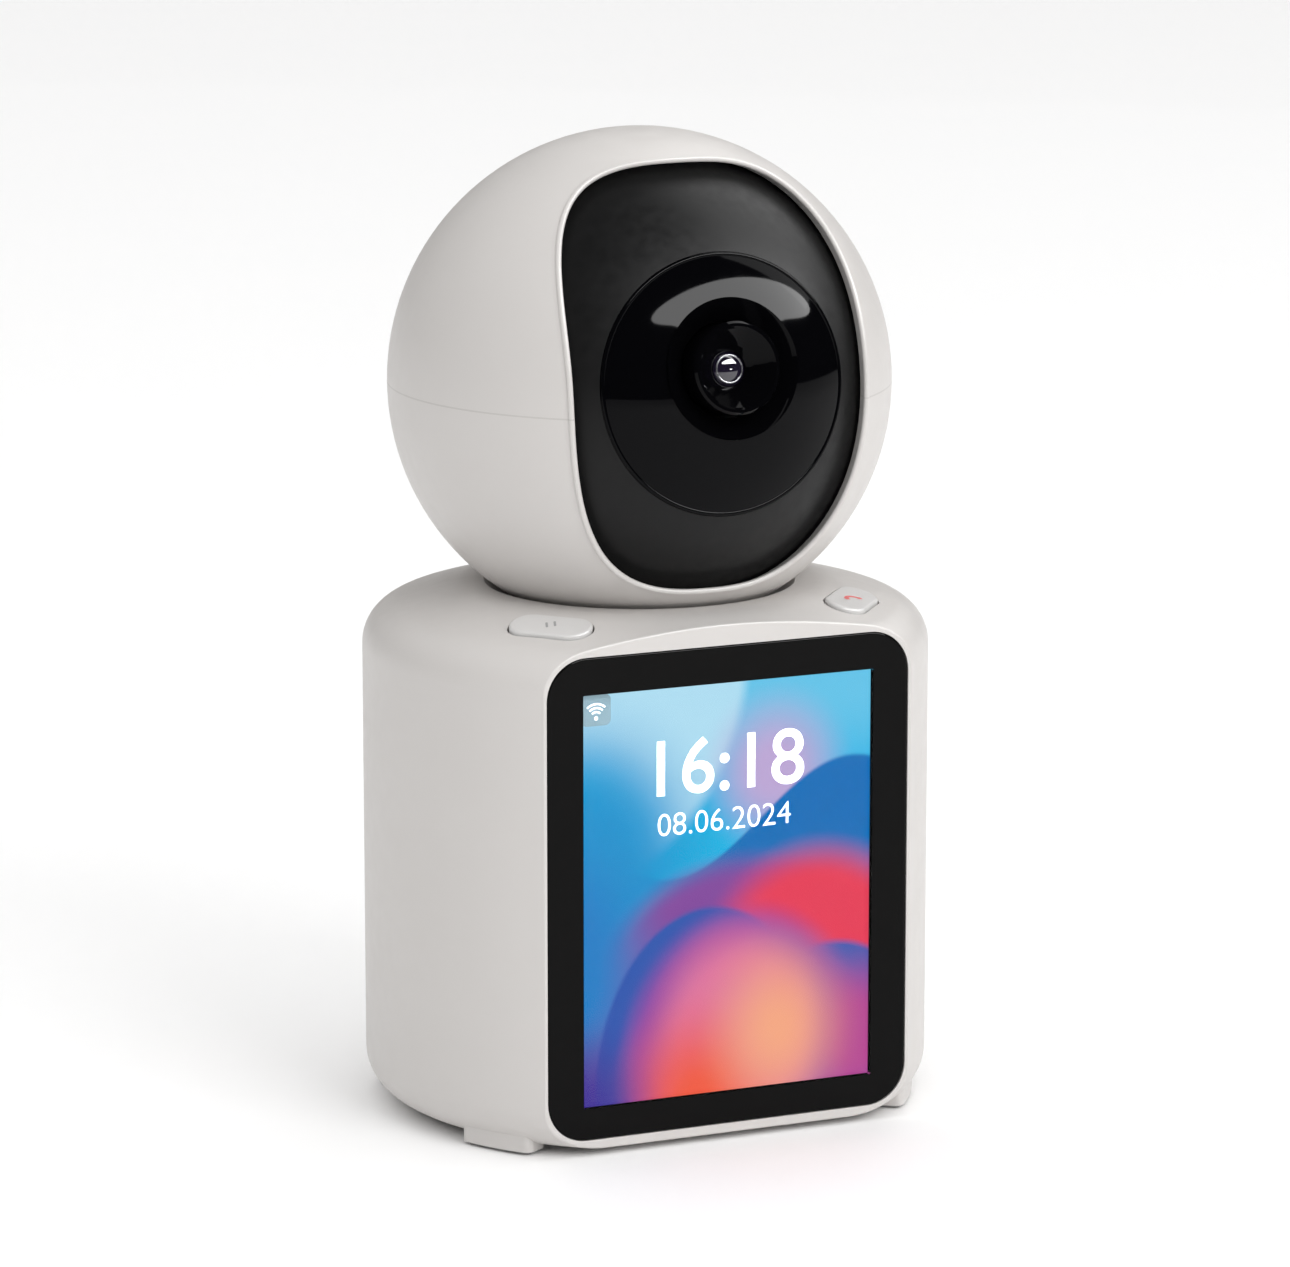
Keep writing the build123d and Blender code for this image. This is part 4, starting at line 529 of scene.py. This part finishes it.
# The ball is two mouldings of the same white ABS, screwed together on its
# middle line. The joint shows as a hairline of painted shade: a thin band of darker colour on the shells,
# standing in for the shade in the joint.
ball_abs, ball_colour = white_moulding("ball_white_abs")
seam_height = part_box("head_lower_shell")[1].z
seam_shade_half_width = 0.11 * mm
ball_nodes, ball_links = ball_abs.node_tree.nodes, ball_abs.node_tree.links
ball_place = ball_nodes.new("ShaderNodeTexCoord")
ball_split = ball_nodes.new("ShaderNodeSeparateXYZ")
ball_links.new(ball_place.outputs["Object"], ball_split.inputs["Vector"])
# Painted shade: the colour is darkened in a thin band round the joint's height.
painted_seam_shade_mask = ball_nodes.new("ShaderNodeMath")
painted_seam_shade_mask.operation = "COMPARE"
painted_seam_shade_mask.inputs[1].default_value = seam_height
painted_seam_shade_mask.inputs[2].default_value = seam_shade_half_width
ball_links.new(ball_split.outputs["Z"], painted_seam_shade_mask.inputs[0])
painted_seam_shade_colour = (0.52, 0.50, 0.48, 1)
painted_seam_shade_mix = ball_nodes.new("ShaderNodeMix")
painted_seam_shade_mix.data_type = "RGBA"
painted_seam_shade_mix.inputs["B"].default_value = painted_seam_shade_colour
ball_links.new(painted_seam_shade_mask.outputs["Value"], painted_seam_shade_mix.inputs["Factor"])
ball_links.new(ball_colour, painted_seam_shade_mix.inputs["A"])
ball_links.new(painted_seam_shade_mix.outputs["Result"], ball_nodes["Principled BSDF"].inputs["Base Color"])
paint(ball_abs, "head_upper_shell", "head_lower_shell")

# The ball's opening has a rolled lip, moulded with it: a thin bead of the same
# white ABS that follows the oval, squarer above its middle than below it.
ball_middle = Vector((0, -1.7 * mm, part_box("head_lower_shell")[1].z))
sideways = Vector((1, 0, 0))


def aim_from_ball(lift):
    """The forward line from the ball's middle, raised by an angle in degrees."""
    return Vector((0, -math.cos(math.radians(lift)), math.sin(math.radians(lift))))


opening_lift = 9.8
opening_forward = aim_from_ball(opening_lift)
opening_upward = opening_forward.cross(sideways)
opening_half_width = 21.87 * mm
opening_half_height = 29.32 * mm
squareness_above = 3.0
squareness_below = 2.6
ball_radius = 34.86 * mm
lip_radius = 0.42 * mm
lip_steps = 240
lip_sides = 12
lip_path = []
for step in range(lip_steps):
    turn = 2 * math.pi * step / lip_steps
    squareness = squareness_above if math.sin(turn) >= 0 else squareness_below
    reach = ((abs(math.cos(turn)) / opening_half_width) ** squareness
             + (abs(math.sin(turn)) / opening_half_height) ** squareness) ** (-1 / squareness)
    across_opening, up_opening = reach * math.cos(turn), reach * math.sin(turn)
    depth = math.sqrt(ball_radius ** 2 - reach ** 2)
    lip_path.append(sideways * across_opening + opening_upward * up_opening + opening_forward * depth)
lip_loops = []
for step, place in enumerate(lip_path):
    along = (lip_path[(step + 1) % lip_steps] - lip_path[step - 1]).normalized()
    outward = place.normalized()
    inward = along.cross(outward)
    lip_loops.append([ball_middle + place + lip_radius * (math.cos(turn) * outward + math.sin(turn) * inward)
                      for turn in (2 * math.pi * side / lip_sides for side in range(lip_sides))])
opening_lip = stack_loops("opening_lip", lip_loops[::-1], ball_abs)
opening_lip.data.shade_smooth()
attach(opening_lip, "pan_head")

# The face of the camera is a drum moulded in black ABS with a satin skin. It
# turns up and down in the ball on two steel pins, and carries the window.
satin_black = make_finish("satin_black_abs", (0.006, 0.006, 0.0062), 0.42, specular=0.20)
tint(satin_black, speckle(satin_black, 10.0), (0.005, 0.005, 0.0052), (0.007, 0.007, 0.0072))
scuff(satin_black, speckle(satin_black, 1.5), 0.38, 0.48)
relief(satin_black, speckle(satin_black, 0.3, 3.0), 0.003)
paint(satin_black, "face_shell")

# The window, the lens hood and the barrel are moulded in black acrylic and
# left as polished as their tools. Only the lamps behind shine through them.
gloss_black = make_finish("polished_black_acrylic", (0.0015, 0.0015, 0.002), 0.05, specular=0.085)
scuff(gloss_black, speckle(gloss_black, 6.0), 0.03, 0.07)
paint(gloss_black, "window_disc", "lens_hood", "lens_barrel")

# The lens is a stack of coated glasses, faintly violet, in front of the
# sensor. A thin grey metal ring in front of the first glass is a painted reflection, standing in for the
# reflection of the barrel's inner edge. A bead runs round the window's edge.
lens_glass = make_finish("coated_lens_glass", (0.012, 0.01, 0.02), 0.02, specular=0.8)
tint(lens_glass, speckle(lens_glass, 1.5), (0.010, 0.008, 0.018), (0.016, 0.012, 0.026))
lens_glass.node_tree.nodes["Principled BSDF"].inputs["IOR"].default_value = 1.6
paint(lens_glass, "lens_elements", "image_sensor")
window_lift = 7.0
lens_lift = 11.0
ring_steps = 128


def oval_section(radius, distance, half_width, half_depth, gap):
    """Radius and distance, in millimetres, of points a gap in degrees apart round a bead."""
    turns = [math.radians(angle) for angle in range(0, 360, gap)]
    return [(radius + half_width * math.cos(turn), distance + half_depth * math.sin(turn)) for turn in turns]


def turned_ring(name, lift, section, finish):
    """A ring round a line from the ball's middle, turned to a section."""
    forward = aim_from_ball(lift)
    loops = []
    for radius, distance in section:
        loop = []
        for step in range(ring_steps):
            turn = 2 * math.pi * step / ring_steps
            around = sideways * math.cos(turn) + forward.cross(sideways) * math.sin(turn)
            loop.append(ball_middle + forward * (distance * mm) + around * (radius * mm))
        loops.append(loop)
    piece = stack_loops(name, loops[::-1], finish)
    piece.data.shade_smooth()
    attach(piece, "camera_drum")
    return piece


# Painted reflection: this grey metal ring stands in for the reflection of the barrel's inner edge on the
# lens.
painted_reflection_ring_finish = make_finish("painted_reflection_ring_grey", (0.30, 0.30, 0.31), 0.28, metallic=1.0)
scuff(painted_reflection_ring_finish, speckle(painted_reflection_ring_finish, 0.3), 0.22, 0.36)
reflection_ring_section = oval_section(1.86, 30.56, 0.13, 0.10, gap=30)
reflection_ring = turned_ring("lens_reflection_ring", lens_lift, reflection_ring_section, painted_reflection_ring_finish)
window_rim_section = oval_section(17.45, 27.92, 0.30, 0.22, gap=20)
window_rim = turned_ring("window_rim", window_lift, window_rim_section, gloss_black)

# The four circuit boards are glass-epoxy laminate under a green mask. The
# copper tracks were etched before it was printed, so they stand up through it.
board_mask = make_finish("green_solder_mask", (0.01, 0.12, 0.05), 0.35)
board_links = board_mask.node_tree.links
board_place = board_mask.node_tree.nodes.new("ShaderNodeTexCoord")
board_tracks = board_mask.node_tree.nodes.new("ShaderNodeTexVoronoi")
board_tracks.distance = "MANHATTAN"
board_tracks.inputs["Scale"].default_value = 1 / (1.7 * mm)
board_links.new(board_place.outputs["Object"], board_tracks.inputs["Vector"])
track_height = spread(board_mask, board_tracks.outputs["Distance"], 0.0, 1.0)
tint(board_mask, track_height, (0.006, 0.075, 0.03), (0.02, 0.17, 0.075))
scuff(board_mask, speckle(board_mask, 0.8), 0.28, 0.42)
relief(board_mask, track_height, 0.02)
paint(board_mask, "main_board", "keypad_board", "camera_board", "led_board")

# The chips, the switches, the antenna and the lens holder are moulded in black
# epoxy or glass-filled nylon, and have the dull mineral skin of their tools.
chip_black = make_finish("moulded_epoxy", (0.03, 0.03, 0.03), 0.6)
tint(chip_black, speckle(chip_black, 0.6), (0.024, 0.024, 0.025), (0.042, 0.042, 0.041))
scuff(chip_black, speckle(chip_black, 0.25), 0.52, 0.72)
relief(chip_black, speckle(chip_black, 0.12, 3.0), 0.006)
paint(chip_black, "board_components", "wifi_antenna", "reset_switch", "reset_plunger", "button_switches",
      "lens_holder")


# The shield, the motor's bracket, the two sockets and the back of the panel
# are pressed from tinned steel strip, with the marks of rolling along it.
def streaks(finish, grain, stretch):
    """Rolling marks: noise at a grain in millimetres, drawn out along x."""
    nodes, links = finish.node_tree.nodes, finish.node_tree.links
    place = nodes.new("ShaderNodeTexCoord")
    drawn = nodes.new("ShaderNodeMapping")
    drawn.inputs["Scale"].default_value = (1 / stretch, 1, 1)
    links.new(place.outputs["Object"], drawn.inputs["Vector"])
    noise = nodes.new("ShaderNodeTexNoise")
    noise.inputs["Scale"].default_value = 1 / (grain * mm)
    links.new(drawn.outputs["Vector"], noise.inputs["Vector"])
    return noise.outputs["Fac"]


tin_sheet = make_finish("tinned_sheet", (0.6, 0.6, 0.62), 0.35, metallic=1.0)
tint(tin_sheet, speckle(tin_sheet, 4.0), (0.55, 0.55, 0.56), (0.66, 0.66, 0.68))
scuff(tin_sheet, streaks(tin_sheet, 0.2, 24), 0.26, 0.46)
relief(tin_sheet, streaks(tin_sheet, 0.12, 30), 0.002)
paint(tin_sheet, "display_backlight", "shield_can", "card_socket", "motor_bracket", "usb_c_receptacle")

# The motor cans and the magnet's cup are drawn from steel and barrel-plated
# with nickel. The plating is warm and bright, with small tumbling dents.
nickel_can = make_finish("nickel_plated_can", (0.58, 0.55, 0.50), 0.25, metallic=1.0)
tint(nickel_can, speckle(nickel_can, 2.5), (0.54, 0.51, 0.46), (0.63, 0.60, 0.55))
scuff(nickel_can, speckle(nickel_can, 0.7), 0.2, 0.36)
relief(nickel_can, speckle(nickel_can, 0.5), 0.004)
paint(nickel_can, "pan_motor", "tilt_motor", "speaker_magnet")

# The gears, the bushes, the washer and the cable's plug are moulded in natural
# acetal, which needs no grease: milky, a little waxy, with faint flow marks.
acetal = make_finish("natural_acetal", (0.78, 0.77, 0.73), 0.4)
tint(acetal, speckle(acetal, 2.0), (0.75, 0.74, 0.70), (0.81, 0.80, 0.76))
scuff(acetal, speckle(acetal, 1.0), 0.33, 0.47)
relief(acetal, streaks(acetal, 0.4, 6), 0.002)
paint(acetal, "pan_gear", "pan_pinion", "tilt_gear", "tilt_pinion", "neck_bush", "neck_washer", "tilt_bushes",
      "cable_plug")

# The display's frame and the speaker's basket are grey ABS, with the coarse
# spark finish that is left on parts nobody sees.
grey_abs = make_finish("grey_abs", (0.25, 0.25, 0.26), 0.5)
tint(grey_abs, speckle(grey_abs, 3.0), (0.23, 0.23, 0.24), (0.28, 0.28, 0.29))
scuff(grey_abs, speckle(grey_abs, 1.0), 0.45, 0.6)
relief(grey_abs, speckle(grey_abs, 0.25, 3.0), 0.01)
paint(grey_abs, "display_bracket", "speaker_frame")

# The display's tail is polyimide film with copper tracks laminated in it. The
# tracks run side by side, a millimetre from one to the next.
flex_film = make_finish("polyimide_film", (0.45, 0.17, 0.03), 0.3)
flex_place = flex_film.node_tree.nodes.new("ShaderNodeTexCoord")
flex_tracks = flex_film.node_tree.nodes.new("ShaderNodeTexWave")
flex_tracks.inputs["Scale"].default_value = 1 / (3.2 * mm)
flex_film.node_tree.links.new(flex_place.outputs["Object"], flex_tracks.inputs["Vector"])
flex_bands = spread(flex_film, flex_tracks.outputs["Fac"], 0.0, 1.0)
tint(flex_film, flex_bands, (0.40, 0.14, 0.02), (0.52, 0.24, 0.06))
scuff(flex_film, speckle(flex_film, 2.0), 0.24, 0.38)
relief(flex_film, flex_bands, 0.01)
paint(flex_film, "display_flex")

# The tape under the cover glass and the cable's jacket are soft and black:
# die-cut foam tape, and PVC drawn round its cores.
black_rubber = make_finish("black_rubber", (0.02, 0.02, 0.02), 0.7)
tint(black_rubber, speckle(black_rubber, 1.0), (0.016, 0.016, 0.016), (0.027, 0.027, 0.027))
scuff(black_rubber, speckle(black_rubber, 0.6), 0.62, 0.8)
relief(black_rubber, speckle(black_rubber, 0.2, 3.0), 0.008)
paint(black_rubber, "display_adhesive", "head_cable")

# The speaker's dust cloth is black polyester in a plain weave, stretched
# over the back of the grille and glued round its edge.
mesh_cloth = make_finish("speaker_mesh", (0.02, 0.02, 0.02), 0.85)
cloth_nodes, cloth_links = mesh_cloth.node_tree.nodes, mesh_cloth.node_tree.links
cloth_place = cloth_nodes.new("ShaderNodeTexCoord")
cloth_weave = cloth_nodes.new("ShaderNodeMath")
cloth_weave.operation = "MULTIPLY"
for thread, direction in enumerate(("X", "Z")):
    threads = cloth_nodes.new("ShaderNodeTexWave")
    threads.bands_direction = direction
    threads.inputs["Scale"].default_value = 1 / (1.9 * mm)
    cloth_links.new(cloth_place.outputs["Object"], threads.inputs["Vector"])
    cloth_links.new(threads.outputs["Fac"], cloth_weave.inputs[thread])
tint(mesh_cloth, cloth_weave.outputs["Value"], (0.006, 0.006, 0.006), (0.05, 0.05, 0.05))
relief(mesh_cloth, cloth_weave.outputs["Value"], 0.04)
paint(mesh_cloth, "speaker_cloth")

# The speaker's cone is pressed from grey paper pulp and glued to its basket.
# Short fibres show in its skin, and nothing is painted over them.
cone_paper = make_finish("pressed_paper", (0.05, 0.048, 0.045), 0.8)
tint(cone_paper, speckle(cone_paper, 0.5, 4.0), (0.036, 0.036, 0.033), (0.07, 0.066, 0.06))
relief(cone_paper, streaks(cone_paper, 0.2, 5), 0.015)
paint(cone_paper, "speaker_cone")

# The lamps round the lens are cast in clear epoxy on white cups. Each one
# is soldered to the ring board behind the window.
led_clear = make_finish("led_clear", (0.8, 0.8, 0.78), 0.1)
tint(led_clear, speckle(led_clear, 0.8), (0.74, 0.74, 0.69), (0.86, 0.86, 0.83))
scuff(led_clear, speckle(led_clear, 0.5), 0.06, 0.18)
paint(led_clear, "window_leds")
